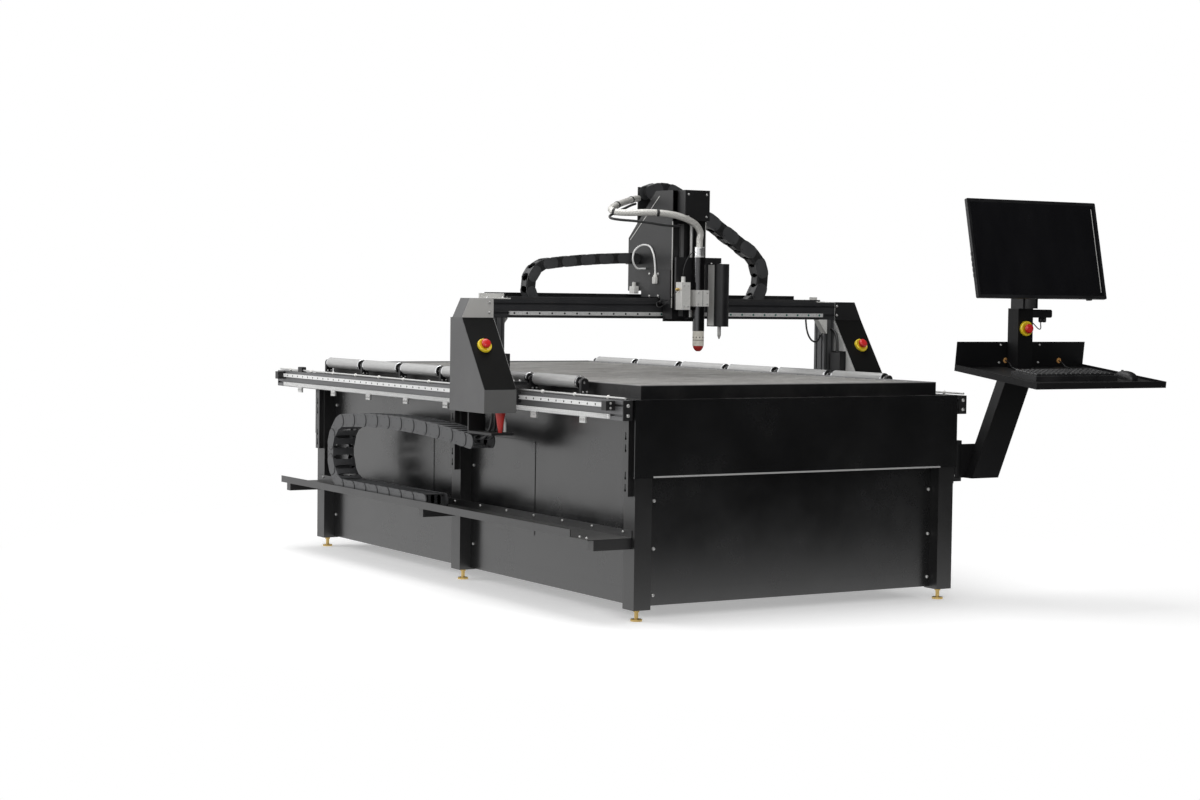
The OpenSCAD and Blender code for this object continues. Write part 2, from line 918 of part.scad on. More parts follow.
lead_r = 140;
lead_bend_angle = 148.5;
lead_climb = 456;
lead_over = 150;
lead_over_angle = 62;
lead_low = tray_floor + lead_h/2;
lead_path = [[lead_length, 0], bend(lead_r, lead_bend_angle), [lead_climb, 0], bend(lead_over, lead_over_angle)];
lead_count = floor(total(lead_path)/lead_pitch);
lead_end = carrier_pt(lead_path, lead_count*lead_pitch);
module lead_chain() {
  color("#4e5155")
    place()
      translate([lead_fix, cross_y, lead_low])
        rotate([90, 0, 0])
          carrier(lead_path, lead_pitch, lead_h, cross_w);
}
foot_t = 10;
foot_front = 150;
foot_back = 46;
foot_top = carrier_low + 2*carrier_r + carrier_h/2 + gap + foot_t;
foot_half = 52;
web_w = 78;
// hanger that joins the carrier's moving end to the left base plate
module chain_arm() {
  color("#232527")
    place() {
      box(carrier_x - foot_half, carrier_x + foot_half, beam_front - foot_front, beam_front + foot_back + foot_t,
        foot_top - foot_t, foot_top);
      box(carrier_x - foot_half, carrier_x - foot_half + web_w, beam_front + foot_back,
        beam_front + foot_back + foot_t, foot_top, base_low);
    }
}
plug_d = 42;
plug_tip = 16;
plug_h = 82;
module gantry_conduit() {
  color("#b0161c")
    place()
      translate([carrier_x, beam_front - foot_front + plug_d/2, foot_top])
        cylinder(d1 = plug_tip, d2 = plug_d, h = plug_h);
}

// carriage and torch head
head_half = head_w/2;
head_x0 = torch_x - head_half;
head_x1 = torch_x + head_half;
plate_front = beam_front - head_front;
plate_t = 12;
inner_front = beam_front - gap - bearing_t - plate_t;
bridge_low = beam_top + gap + bearing_t;
bridge_top = bridge_low + plate_t;
frame_drop = 8;
frame_low = beam_guide_z - bearing_w/2 - frame_drop;
bridge_reach = 54;
bridge_rear = beam_rear + bridge_reach;
plate_low = beam_bottom;
hood_drop = 130;
hood_w = 124;
hood_d = 62;
hood_low = head_top - hood_drop;
module carriage_frame() {
  color("#505357")
    place() {
      box(head_x0 + sheet, head_x1 - sheet, plate_front, plate_front + plate_t, plate_low, hood_low);
      for (x = [head_x0 + sheet, head_x1 - sheet - plate_t])
        box(x, x + plate_t, plate_front + plate_t, inner_front, frame_low + plate_t, bridge_top);
      box(head_x0 + sheet, head_x1 - sheet, inner_front, inner_front + plate_t, frame_low, bridge_low);
      difference() {
        box(head_x0 + sheet, head_x1 - sheet, inner_front, bridge_rear, bridge_low, bridge_top);
        translate([torch_x, cross_mesh_y, bridge_low - overrun])
          cylinder(d = shaft_d + 2*run_fit + gap, h = plate_t + 2*overrun);
      }
    }
}
bearing_half = 55;
z_guide_x = 42;
z_guide_step = 12;
z_guide_low = plate_low + z_guide_step;
z_guide_top = hood_low - z_guide_step;
module carriage_guides() {
  color("#c4c7cb")
    place() {
      along_x(torch_x - bearing_half, torch_x + bearing_half)
        difference() {
          translate([inner_front + plate_t, beam_guide_z - bearing_w/2])
            square([bearing_t, bearing_w]);
          translate([beam_front - guide_h, beam_guide_z])
            bearing_cut();
          translate([beam_front - guide_h/2, beam_guide_z - guide_w/2 - gap])
            square([guide_h, guide_w + 2*gap]);
        }
      along_x(torch_x - bearing_half, torch_x + bearing_half)
        difference() {
          translate([top_guide_y - bearing_w/2, beam_top + gap])
            square([bearing_w, bearing_t]);
          translate([top_guide_y, beam_top + guide_h])
            rotate(-90)
              bearing_cut();
          translate([top_guide_y - guide_w/2 - gap, beam_top])
            square([guide_w + 2*gap, guide_h/2]);
        }
      for (s = [-1, 1])
        translate([torch_x + s*z_guide_x, plate_front, z_guide_low])
          linear_extrude(z_guide_top - z_guide_low)
            translate([0, -guide_h])
              rotate(90)
                guide_profile();
    }
}
chamfer_in = 30;
chamfer_drop = 198;
chamfer_y = beam_front + chamfer_in;
chamfer_z = head_top - chamfer_drop;
cover_rear = beam_front + head_rear;
shelf_l = 40;
cross_shelf = cross_low + 2*cross_r - cross_h/2 - gap;
ear_w = 66;
ear_t = 6;
function cover_outline(wall) = [
  [plate_front + (wall > 0 ? -overrun : 0), bridge_top - (wall > 0 ? overrun : 0)],
  [plate_front + (wall > 0 ? -overrun : 0), head_top - wall], [chamfer_y - wall*0.4, head_top - wall],
  [cover_rear - wall, chamfer_z - wall*0.4], [cover_rear - wall, bridge_top - (wall > 0 ? overrun : 0)]];
module head_cover() {
  color("#56595d")
    place() {
      difference() {
        along_x(head_x0, head_x1)
          polygon(cover_outline(0));
        along_x(head_x0 + sheet, head_x1 - sheet)
          polygon(cover_outline(sheet));
      }
      difference() {
        box(torch_x - hood_w/2, torch_x + hood_w/2, plate_front - hood_d, plate_front, hood_low, head_top);
        box(torch_x - hood_w/2 + sheet, torch_x + hood_w/2 - sheet, plate_front - hood_d + sheet,
          plate_front + overrun, hood_low - overrun, head_top - sheet);
      }
      box(head_x0 - shelf_l, head_x0, cross_y - cross_w/2, cross_y + cross_w/2, cross_shelf - sheet, cross_shelf);
      box(lead_fix + lead_end[0] - ear_w/3, lead_fix + lead_end[0] + 2*ear_w/3, cross_y + cross_w/2 + gap,
        cross_y + cross_w/2 + gap + ear_t, chamfer_z, lead_low + lead_end[1] + lead_h/2);
    }
}
cross_motor = 60;
cross_motor_h = 90;
lift_motor = 52;
lift_motor_h = 70;
lift_ahead = 17;
lift_y = plate_front - lift_ahead;
screw_d = 14;
mount_t = 8;
mount_front = 11;
mount_half = 20;
module carriage_motors() {
  color("#1f2022")
    place() {
      difference() {
        box(torch_x - cross_motor/2, torch_x + cross_motor/2, cross_mesh_y - cross_motor/2,
          cross_mesh_y + cross_motor/2, bridge_top, bridge_top + cross_motor_h);
        translate([torch_x, cross_mesh_y, bridge_top - overrun])
          cylinder(d = shaft_d + 2*run_fit, h = cross_motor_h/2);
      }
      difference() {
        box(torch_x - lift_motor/2, torch_x + lift_motor/2, lift_y - lift_motor/2, plate_front + plate_t,
          hood_low, hood_low + lift_motor_h);
        translate([torch_x, lift_y, hood_low - overrun])
          cylinder(d = screw_d + 2*run_fit, h = lift_motor_h/2);
      }
      difference() {
        box(torch_x - mount_half, torch_x + mount_half, lift_y - mount_front, plate_front,
          plate_low, plate_low + mount_t);
        translate([torch_x, lift_y, plate_low - overrun])
          cylinder(d = screw_d + 2*run_fit, h = mount_t + 2*overrun);
      }
    }
}
module pinion_cross() {
  color("#b8bbbf")
    place()
      translate([torch_x, cross_mesh_y, cross_rack_z]) {
        rotate([0, 0, -90])
          linear_extrude(rack_h)
            pinion_profile();
        translate([0, 0, rack_h])
          cylinder(d = shaft_d, h = bridge_top + shaft_up - cross_rack_z - rack_h);
      }
}
module lift_screw() {
  color("#c4c7cb")
    place()
      translate([torch_x, lift_y, plate_low + overrun])
        cylinder(d = screw_d, h = hood_low + shaft_up - plate_low - overrun);
}

// tool slide with the torch and the marker
torch_y = beam_front - torch_reach;
slide_rear = plate_front - gap - bearing_t;
slide_front = slide_rear - tool_plate;
slide_step = 175;
slide_h = 222;
slide_low = torch_tip + slide_step;
slide_top = slide_low + slide_h;
slide_left = 91;
slide_right = 139;
slide_x0 = torch_x - slide_left;
slide_x1 = torch_x + slide_right;
nut_w = 40;
nut_h = 60;
module tool_slide() {
  color("#3a3d40")
    place() {
      box(slide_x0, slide_x1, slide_front, slide_rear, slide_low, slide_top);
      for (s = [-1, 1])
        translate([torch_x + s*z_guide_x, 0, slide_low])
          linear_extrude(slide_top - slide_low)
            difference() {
              translate([-bearing_w*0.4, slide_rear])
                square([bearing_w*0.8, bearing_t]);
              translate([0, plate_front - guide_h])
                rotate(90)
                  bearing_cut();
              translate([-guide_w/2 - gap, plate_front - guide_h/2])
                square([guide_w + 2*gap, guide_h]);
            }
      difference() {
        box(torch_x - nut_w/2, torch_x + nut_w/2, slide_rear, lift_y + screw_d, slide_top - nut_h, slide_top);
        translate([torch_x, lift_y, slide_low])
          cylinder(d = screw_d + 2*run_fit, h = slide_top);
      }
    }
}
clamp_w = 64;
clamp_step = 190;
clamp_h = 69;
clamp_low = torch_tip + clamp_step;
clamp_high = clamp_low + clamp_h;
clamp_front = 31;
module torch_clamp() {
  color("#c8cbcf")
    place()
      difference() {
        box(torch_x - clamp_w/2, torch_x + clamp_w/2, torch_y - clamp_front, slide_front, clamp_low, clamp_high);
        translate([torch_x, torch_y, clamp_low - overrun])
          cylinder(d = torch_d, h = clamp_high - clamp_low + 2*overrun);
      }
}
barrel_low = torch_tip + tip_length + cap_length;
barrel_high = barrel_low + torch_length;
collar_d = torch_d*0.86;
module torch_body() {
  color("#3b3e44")
    place()
      translate([torch_x, torch_y, barrel_low]) {
        cylinder(d = torch_d, h = torch_length);
        translate([0, 0, torch_length])
          cylinder(d = collar_d, h = collar_length);
      }
}
tip_shares = [0.16, 0.3, 0.42, 0.45, 0.48];
module torch_nozzle() {
  color("#d9d3c2")
    place()
      translate([torch_x, torch_y, torch_tip])
        rotate_extrude()
          polygon([[0, 0], [tip_shares[0]*torch_d, 0], [tip_shares[1]*torch_d, tip_length/4],
            [tip_shares[2]*torch_d, 2*tip_length/3], [tip_shares[3]*torch_d, tip_length],
            [tip_shares[4]*torch_d, tip_length], [tip_shares[4]*torch_d, tip_length + cap_length],
            [0, tip_length + cap_length]]);
}
block_w = 42;
block_d = 48;
block_h = 116;
block_low = slide_low;
block_high = block_low + block_h;
fitting_d = 18;
fitting_h = 24;
module breakaway_block() {
  color("#c4c7cb")
    place() {
      box(slide_x0, slide_x0 + block_w, slide_front - block_d, slide_front, block_low, block_high);
      translate([slide_x0 + block_w/2, slide_front - block_d/2, block_high])
        cylinder(d = fitting_d, h = fitting_h);
    }
}
marker_step = 105;
marker_low = torch_tip + marker_step;
scribe_out = 53;
scribe_in = 60;
module marker_housing() {
  color("#1c1d1f")
    place()
      difference() {
        translate([slide_x1 - marker_w, slide_front - marker_d + marker_w/2, marker_low])
          linear_extrude(marker_h) {
            square([marker_w, marker_d - marker_w/2]);
            translate([marker_w/2, 0])
              circle(d = marker_w);
          }
        translate([slide_x1 - marker_w/2, slide_front - marker_d/2, marker_low - overrun])
          cylinder(d = scribe_d + 2*run_fit, h = scribe_in + 2*overrun);
      }
}
module scribe() {
  color("#d0d3d7")
    place()
      translate([slide_x1 - marker_w/2, slide_front - marker_d/2, marker_low - scribe_out]) {
        cylinder(d1 = scribe_d*0.3, d2 = scribe_d, h = scribe_out*0.3);
        translate([0, 0, scribe_out*0.3])
          cylinder(d = scribe_d, h = scribe_out*0.7 + scribe_in - overrun);
      }
}
// round cord swept along points
function unit(v) = v/norm(v);
function tangent(pts, i) = unit(pts[min(i + 1, len(pts) - 1)] - pts[max(i - 1, 0)]);
function smooth_pt(p, i, t) =
  let (a = p[max(i - 1, 0)], b = p[i], c = p[i + 1], d = p[min(i + 2, len(p) - 1)])
    0.5*(2*b + (c - a)*t + (2*a - 5*b + 4*c - d)*t*t + (3*b - a - 3*c + d)*t*t*t);
function smooth(p, n) = concat([for (i = [0:len(p) - 2], k = [0:n - 1]) smooth_pt(p, i, k/n)], [p[len(p) - 1]]);
function carry(pts, i, side) = let (t = tangent(pts, i)) unit(side - (side*t)*t);
function sides(pts, i, side) = i == len(pts) ? [] : let (s = carry(pts, i, side)) concat([s], sides(pts, i + 1, s));
module cord(pts, d, n, first) {
  ss = sides(pts, 0, first);
  ring = [for (i = [0:len(pts) - 1], k = [0:n - 1])
    let (u = ss[i], v = cross(tangent(pts, i), u), a = k*360/n) pts[i] + d/2*(cos(a)*u + sin(a)*v)];
  last = (len(pts) - 1)*n;
  polyhedron(ring, concat(
    [[for (k = [0:n - 1]) k]],
    [for (i = [0:len(pts) - 2], k = [0:n - 1]) [i*n + k, i*n + n + k, i*n + n + (k + 1) % n, i*n + (k + 1) % n]],
    [[for (k = [0:n - 1]) last + n - 1 - k]]));
}
lead_d = 28;
collar_top = barrel_high + collar_length;
lead_route = [[0, 0, gap], [0, 0, 16], [0, 0, 32], [0, -4, 62], [-26, -7, 94], [-72, -6, 116], [-118, 4, 130], [-172, 22, 138],
  [-236, 46, 140], [-298, 78, 138], [-338, 116, 140], [-348, 150, 150], [-324, 180, 162], [-286, 206, 174],
  [-242, 236, 185], [-184, 274, 198], [-128, 316, 208], [-84, 361, 212]];
module torch_lead() {
  color("#b9bcc0")
    place()
      translate([torch_x, torch_y, collar_top])
        cord(smooth(lead_route, 3), lead_d, 12, [1, 0, 0]);
}
air_d = 8;
air_route = [[-gap, 0, 0], [-8, 0, 0], [-16, 0, 0], [-44, 0, 2], [-64, 0, 34], [-56, 0, 76], [-30, -16, 100], [-8, -44, 96],
  [-5, -72, 62], [-5, -84, 20], [-5, -88, -20]];
air_back = 108;
air_rise = 96;
air_y = beam_front + air_back;
air_z = bridge_top + air_rise;
module air_tube() {
  color("#e8e8e6")
    place()
      translate([head_x0, air_y, air_z])
        cord(smooth(air_route, 4), air_d, 8, [0, 0, 1]);
}

// console on its swivel arm
pivot_out = 40;
pivot_back = 57;
pivot_x = rail_in + pivot_out;
pivot_y = -half_l + pivot_back;
pin_d = 22;
knuckle_d = 48;
knuckle_drop = 346;
knuckle_low = table_height - knuckle_drop;
knuckle_h = 140;
lug_t = 14;
module console_bracket() {
  color("#2a2c2e")
    place() {
      box(rail_in, rail_in + lug_t, pivot_y - knuckle_d/2, pivot_y + knuckle_d/2,
        knuckle_low - lug_t - gap, knuckle_low + knuckle_h + lug_t + gap);
      for (z = [knuckle_low - lug_t - gap, knuckle_low + knuckle_h + gap]) {
        box(rail_in + lug_t, pivot_x, pivot_y - knuckle_d/2, pivot_y + knuckle_d/2, z, z + lug_t);
        translate([pivot_x, pivot_y, z])
          cylinder(d = knuckle_d, h = lug_t);
      }
      translate([pivot_x, pivot_y, knuckle_low - gap])
        cylinder(d = pin_d, h = knuckle_h + 2*gap);
    }
}
tray_y = -half_l - tray_gap - tray_d/2;
tray_t = 4;
module on_tray() {
  translate([tray_x, tray_y, tray_z])
    rotate([tray_tilt, 0, 0])
      children();
}
arm_lean = 23;
arm_long = 520;
arm_in = 22;
tab_w_share = 0.7;
tab_share = 0.3;
saddle_w = 240;
saddle_d = 220;
saddle_t = 8;
module console_arm() {
  color("#2a2c2e")
    place() {
      difference() {
        translate([pivot_x, pivot_y, knuckle_low])
          cylinder(d = knuckle_d, h = knuckle_h);
        translate([pivot_x, pivot_y, knuckle_low - overrun])
          cylinder(d = pin_d + 2*run_fit, h = knuckle_h + 2*overrun);
      }
      difference() {
        translate([pivot_x + knuckle_d/2, pivot_y - arm_d - arm_in, knuckle_low])
          rotate([0, arm_lean, 0])
            translate([0, 0, -arm_long/4])
              cube([arm_w, arm_d, arm_long*1.3]);
        box(pivot_x - arm_w, pivot_x + 4*arm_w, pivot_y - 2*arm_w, pivot_y + arm_w,
          knuckle_low - arm_long, knuckle_low);
        on_tray()
          translate([-tray_w, -tray_w, -tray_t - saddle_t])
            cube([2*tray_w, 2*tray_w, 2*tray_w]);
      }
      box(pivot_x, pivot_x + arm_w*tab_w_share, pivot_y - arm_in - gap, pivot_y - arm_in + arm_in*tab_share,
        knuckle_low, knuckle_low + knuckle_h);
      on_tray()
        translate([-saddle_w/2, tray_d/2 - saddle_d, -tray_t - saddle_t])
          cube([saddle_w, saddle_d, saddle_t]);
    }
}
lip_h = 26;
lip_up = 10;
splash_h = 105;
splash_w = tray_w;
module console_tray() {
  color("#3a3c3e")
    place()
      on_tray() {
        translate([-tray_w/2, -tray_d/2, -tray_t])
          cube([tray_w, tray_d, tray_t]);
        for (s = [0, 1])
          mirror([s, 0, 0])
            translate([-tray_w/2, -tray_d/2, lip_up - lip_h])
              cube([tray_t, tray_d, lip_h]);
        translate([-tray_w/2 + tray_t, -tray_d/2, lip_up - lip_h])
          cube([tray_w - 2*tray_t, tray_t, lip_h]);
        translate([-splash_w/2, tray_d/2 - tray_t, 0])
          cube([splash_w, tray_t, splash_h]);
      }
}
mast_w = 80;
mast_share = 0.8;
ear_share = 0.6;
mast_x = -45;
mast_h = 250;
module console_mast() {
  color("#303234")
    place()
      on_tray()
        translate([mast_x - mast_w/2, tray_d/2 - tray_t - mast_w, 0])
          rotate([-tray_tilt, 0, 0])
            difference() {
              translate([0, 0, -mast_w])
                cube([mast_w, mast_w*mast_share, mast_h + mast_w]);
              rotate([tray_tilt, 0, 0])
                translate([-mast_w, -mast_w, -3*mast_w])
                  cube([3*mast_w, 3*mast_w, 3*mast_w]);
            }
}
mast_top = tray_z + (tray_d/2 - tray_t - mast_w)*sin(tray_tilt) + mast_h;
mast_front = tray_y + (tray_d/2 - tray_t - mast_w)*cos(tray_tilt);
yoke_d = 26;
yoke_w = 56;
yoke_ear = 12;
yoke_ahead = 14;
yoke_rise = 96;
yoke_y = mast_front - yoke_ahead;
yoke_z = mast_top + yoke_rise;
yoke_pin = 12;
monitor_tilt = 12;
module monitor_mount() {
  color("#202123")
    place() {
      difference() {
        union() {
          for (s = [-1, 1])
            translate([tray_x + mast_x + s*(yoke_w/2 + yoke_ear/2 + gap), 0, 0]) {
              box(-yoke_ear/2, yoke_ear/2, yoke_y - yoke_d/2, mast_front + mast_w*ear_share, mast_top + sheet,
                yoke_z);
              translate([-yoke_ear/2, yoke_y, yoke_z])
                rotate([0, 90, 0])
                  cylinder(d = yoke_d, h = yoke_ear);
            }
        }
        translate([0, yoke_y, yoke_z])
          rotate([0, 90, 0])
            cylinder(d = yoke_pin + 2*run_fit, h = 2*tray_x);
      }
      box(tray_x + mast_x - mast_w/2, tray_x + mast_x + mast_w/2, mast_front, mast_front + mast_w*mast_share,
        mast_top, mast_top + sheet);
    }
}
screen_back = 18;
monitor_rise = 138;
monitor_off = 4;
neck_share = 0.8;
bezel = 15;
screen_sink = 2;
rim_share = 0.42;
back_taper = 50;
monitor_front = -yoke_d/2 - screen_back - monitor_t;
module monitor() {
  color("#17181a")
    place()
      translate([tray_x + mast_x, yoke_y, yoke_z]) {
        rotate([0, 90, 0])
          translate([0, 0, -yoke_w/2 - yoke_ear])
            cylinder(d = yoke_pin, h = yoke_w + 2*yoke_ear);
        rotate([0, 90, 0])
          translate([0, 0, -yoke_w/2])
            cylinder(d = yoke_d, h = yoke_w);
        rotate([-monitor_tilt, 0, 0]) {
          translate([-neck_share*yoke_w/2, monitor_front + monitor_t, -neck_share*yoke_d/2])
            cube([neck_share*yoke_w, yoke_d/2 + screen_back, neck_share*yoke_d]);
          translate([monitor_off, monitor_front, monitor_rise])
            difference() {
              along_x(-monitor_w/2, monitor_w/2)
                polygon([[0, -monitor_h/2], [rim_share*monitor_t, -monitor_h/2],
                  [monitor_t, -monitor_h/2 + back_taper], [monitor_t, monitor_h/2 - back_taper],
                  [rim_share*monitor_t, monitor_h/2], [0, monitor_h/2]]);
              box(-monitor_w/2 + bezel, monitor_w/2 - bezel, -overrun, screen_sink,
                -monitor_h/2 + bezel, monitor_h/2 - bezel);
            }
        }
      }
}
key_w = 440;
key_d = 150;
key_h = 20;
key_x = -40;
key_y = -70;
key_cap = 6;
key_rows = 6;
key_cols = 16;
key_edge = 10;
module keyboard() {
  color("#141516")
    place()
      on_tray()
        translate([key_x - key_w/2, key_y - key_d/2, 0]) {
          cube([key_w, key_d, key_h]);
          for (r = [0:key_rows - 1], c = [0:key_cols - 1])
            translate([key_edge + c*(key_w - 2*key_edge)/key_cols + overrun,
              key_edge + r*(key_d - 2*key_edge)/key_rows + overrun, key_h])
              cube([(key_w - 2*key_edge)/key_cols - 2*overrun, (key_d - 2*key_edge)/key_rows - 2*overrun, key_cap]);
        }
}
mouse_x = 262;
mouse_y = -110;
mouse_w = 62;
mouse_l = 108;
mouse_h = 34;
module mouse() {
  color("#1b1c1e")
    place()
      on_tray()
        translate([mouse_x, mouse_y, 0])
          intersection() {
            translate([-mouse_w/2, -mouse_l/2, 0])
              cube([mouse_w, mouse_l, mouse_h]);
            translate([0, 0, mouse_h - mouse_l])
              rotate([90, 0, 0])
                cylinder(r = mouse_l, h = mouse_l, center = true, $fn = 96);
            translate([0, 0, mouse_h - mouse_l])
              rotate([0, 90, 0])
                cylinder(r = mouse_l, h = mouse_l, center = true, $fn = 96);
          }
}
mast_stop_z = 170;
module at_mast_stop() {
  translate([tray_x + mast_x, mast_front, mast_top - mast_h + mast_stop_z])
    rotate([90, 0, 0])
      children();
}
module console_estop() {
  color("#e3b81c")
    place()
      at_mast_stop()
        stop_ring();
}
module console_button() {
  color("#b8131a")
    place()
      at_mast_stop()
        stop_knob();
}

// the origin lies under the middle of the outer box
origin_x = (tray_x + tray_w/2 - housing_out)/2;
origin_y = (rail_rear + end_plate + tray_y - tray_d/2)/2;

posts();
levelling_feet();
aprons();
panels();
bed_frame();
bed_tub();
slats();
slat_racks();
rails();
rail_guides();
gear_racks();
rail_fittings();
rail_brackets();
roller_brackets();
chain_trough();
gantry_chain();
console_bracket();
rollers_left();
rollers_right();
beam();
beam_fittings();
beam_tray();
uprights();
gantry_bases();
left_housing();
right_housing();
drive_motors();
estop_bases();
beam_chain();
lead_chain();
chain_arm();
gantry_conduit();
pinion_left();
pinion_right();
button_left();
button_right();
carriage_frame();
carriage_guides();
head_cover();
carriage_motors();
torch_lead();
air_tube();
pinion_cross();
lift_screw();
tool_slide();
torch_clamp();
torch_body();
torch_nozzle();
breakaway_block();
marker_housing();
scribe();
console_arm();
console_tray();
console_mast();
keyboard();
mouse();
console_estop();
console_button();
monitor_mount();
monitor();
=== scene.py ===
import math

import bpy
import numpy as np
from mathutils import Matrix


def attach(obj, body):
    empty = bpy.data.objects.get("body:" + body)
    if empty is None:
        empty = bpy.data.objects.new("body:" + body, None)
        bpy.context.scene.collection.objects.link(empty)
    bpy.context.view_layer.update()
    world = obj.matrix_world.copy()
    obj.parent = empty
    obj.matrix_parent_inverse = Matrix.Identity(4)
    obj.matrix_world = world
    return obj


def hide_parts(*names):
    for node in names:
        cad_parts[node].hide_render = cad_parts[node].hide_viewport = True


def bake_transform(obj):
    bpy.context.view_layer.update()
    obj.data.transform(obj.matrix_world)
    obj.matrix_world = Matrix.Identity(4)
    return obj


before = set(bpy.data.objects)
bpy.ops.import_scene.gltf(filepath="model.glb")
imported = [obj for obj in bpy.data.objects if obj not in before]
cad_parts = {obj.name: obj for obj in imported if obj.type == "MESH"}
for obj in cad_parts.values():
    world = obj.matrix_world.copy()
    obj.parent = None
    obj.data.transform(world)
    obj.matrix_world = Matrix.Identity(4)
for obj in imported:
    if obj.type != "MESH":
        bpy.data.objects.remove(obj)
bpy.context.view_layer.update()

# All places below are millimetres from the middle of the table, on the floor; the frame's origin is here:
FRAME_ORIGIN = np.array([218.0, -81.5, 0.0])
SIDES = (-1.0, 1.0)

# Places that several pieces share
SIDE_PANEL, END_PANEL, SHEET = 723, 1405, 3     # outer faces of the panels, and their thickness
RAIL_FRONT, RAIL_REAR, RAIL_MID = -1457.0, 1806.0, 815.0
ROLLER_MID, ROLLER_HEIGHT, ROLLER_LENGTH, ROLLER_STEP = 757.5, 896, 350, 402
BEAM_GUIDE = (-511, 1161)                       # face and middle height of the beam's front guide
HEAD_LEFT, HEAD_RIGHT = -69, 101                # outer faces of the head's two plates
TORCH_X, TORCH_Y = 16, -683


def metres(mm):
    """Table millimetres to the frame's metres: (p - origin)/1000."""
    return (np.asarray(mm, float) - FRAME_ORIGIN)/1000


def unit(v):
    """v over its length, row by row."""
    v = np.asarray(v, float)
    return v/np.linalg.norm(v, axis=-1, keepdims=True)


# Shapes: a pair of points and a list of face arrays

def ring_quads(rows, cols):
    """Quads between neighbouring rows of a grid whose columns close on themselves."""
    r = np.arange(rows - 1)[:, None]*cols
    c = np.arange(cols)[None]
    d = (c + 1) % cols
    return np.stack([r + c, r + d, r + cols + d, r + cols + c], -1).reshape(-1, 4)


def closed_grid(points):
    """A grid of rings with a flat face over the first and the last one."""
    rows, cols = points.shape[:2]
    ends = [np.arange(cols)[None, ::-1], (rows - 1)*cols + np.arange(cols)[None]]
    return points.reshape(-1, 3), [ring_quads(rows, cols)] + ends


def swept(profile, path, up=(0, 0, 1)):
    """A profile (a, b) carried along a path: P(s) + a N(s) + b B(s); N is square to it, nearest to up."""
    path, profile, up = np.asarray(path, float), np.asarray(profile, float), np.asarray(up, float)
    t = unit(np.gradient(path, axis=0))
    n = unit(up - (t @ up)[:, None]*t)
    b = np.cross(t, n)
    return closed_grid(path[:, None] + profile[None, :, :1]*n[:, None] + profile[None, :, 1:]*b[:, None])


def turned(profile, foot=(0, 0, 0), axis=(0, 0, 1), sides=24):
    """Rows (r, h) turned about an axis: foot + h axis + r (N cos a + B sin a)."""
    axis = unit(axis)
    ref = np.array([1.0, 0, 0]) if abs(axis[0]) < 0.9 else np.array([0, 1.0, 0])
    n = unit(ref - (ref @ axis)*axis)
    b = np.cross(axis, n)
    a = 2*np.pi*np.arange(sides)/sides
    ring = n*np.cos(a)[:, None] + b*np.sin(a)[:, None]
    r, h = np.asarray(profile, float).T
    return closed_grid(np.asarray(foot, float) + h[:, None, None]*axis + r[:, None, None]*ring)


def slab(outline, foot, across, along, depth):
    """An outline (u, v) on the plane foot + u across + v along, pushed out square to it by depth."""
    out = np.cross(across, along)
    flat = np.asarray(foot, float) + np.asarray(outline, float) @ np.array([across, along], float)
    return closed_grid(np.stack([flat, flat + depth*out]))


def brick(low, high):
    """A block between two corners."""
    (x0, y0, z0), (x1, y1, z1) = low, high
    return slab([(x0, y0), (x1, y0), (x1, y1), (x0, y1)], (0, 0, z0), (1, 0, 0), (0, 1, 0), z1 - z0)


def disc(d, sides=24):
    """Points of a circle."""
    a = 2*np.pi*np.arange(sides)/sides
    return np.stack([np.cos(a), np.sin(a)], 1)*d/2


def rounded(w, h, r, steps=4):
    """A rectangle w by h about its middle, whose corners are quarter circles of radius r."""
    a = np.linspace(0, np.pi/2, steps)[None] + np.pi/2*np.arange(4)[:, None]
    cx = (w/2 - r)*np.array([1, -1, -1, 1])[:, None]
    cy = (h/2 - r)*np.array([1, 1, -1, -1])[:, None]
    return np.stack([cx + r*np.cos(a), cy + r*np.sin(a)], -1).reshape(-1, 2)


def copies(shape, feet, across=(1, 0, 0), along=(0, 1, 0)):
    """One shape at every foot: foot + x across + y along + z (across x along)."""
    points, faces = shape
    feet = np.asarray(feet, float).reshape(-1, 3)
    across = np.broadcast_to(np.asarray(across, float), feet.shape)
    along = np.broadcast_to(np.asarray(along, float), feet.shape)
    axes = np.stack([across, along, np.cross(across, along)], 1)
    placed = feet[:, None] + np.einsum("pk,nkj->npj", points, axes)
    step = len(points)*np.arange(len(feet))[:, None, None]
    return placed.reshape(-1, 3), [(f[None] + step).reshape(-1, f.shape[1]) for f in faces]


def facing(out):
    """Two directions across and along whose product is out."""
    out = unit(out)
    ref = np.array([0, 0, 1.0]) if abs(out[2]) < 0.9 else np.array([0, 1.0, 0])
    across = unit(np.cross(ref, out))
    return across, np.cross(out, across)


BUTTON_HEAD = turned([(1, 0), (1, 0.3), (0.84, 0.78), (0.56, 1), (0.48, 1), (0.42, 0.4)], sides=8)
HOLE_PLUG = turned([(1, 0), (0.94, 1)], sides=8)


def bolts(feet, out, d=12, h=6, head=BUTTON_HEAD):
    """Socket button heads, or another head of unit size, at the feet and along out."""
    points, faces = head
    return copies((points*[d/2, d/2, h], faces), feet, *facing(out))


def plugs(feet, out, d=9, h=0.4):
    """Low round plugs in a row of holes."""
    return bolts(feet, out, d, h, HOLE_PLUG)


def row(x, y, z):
    """Every point of the ranges x, y and z, as rows."""
    g = np.meshgrid(np.atleast_1d(x), np.atleast_1d(y), np.atleast_1d(z), indexing="ij")
    return np.stack(g, -1).reshape(-1, 3).astype(float)


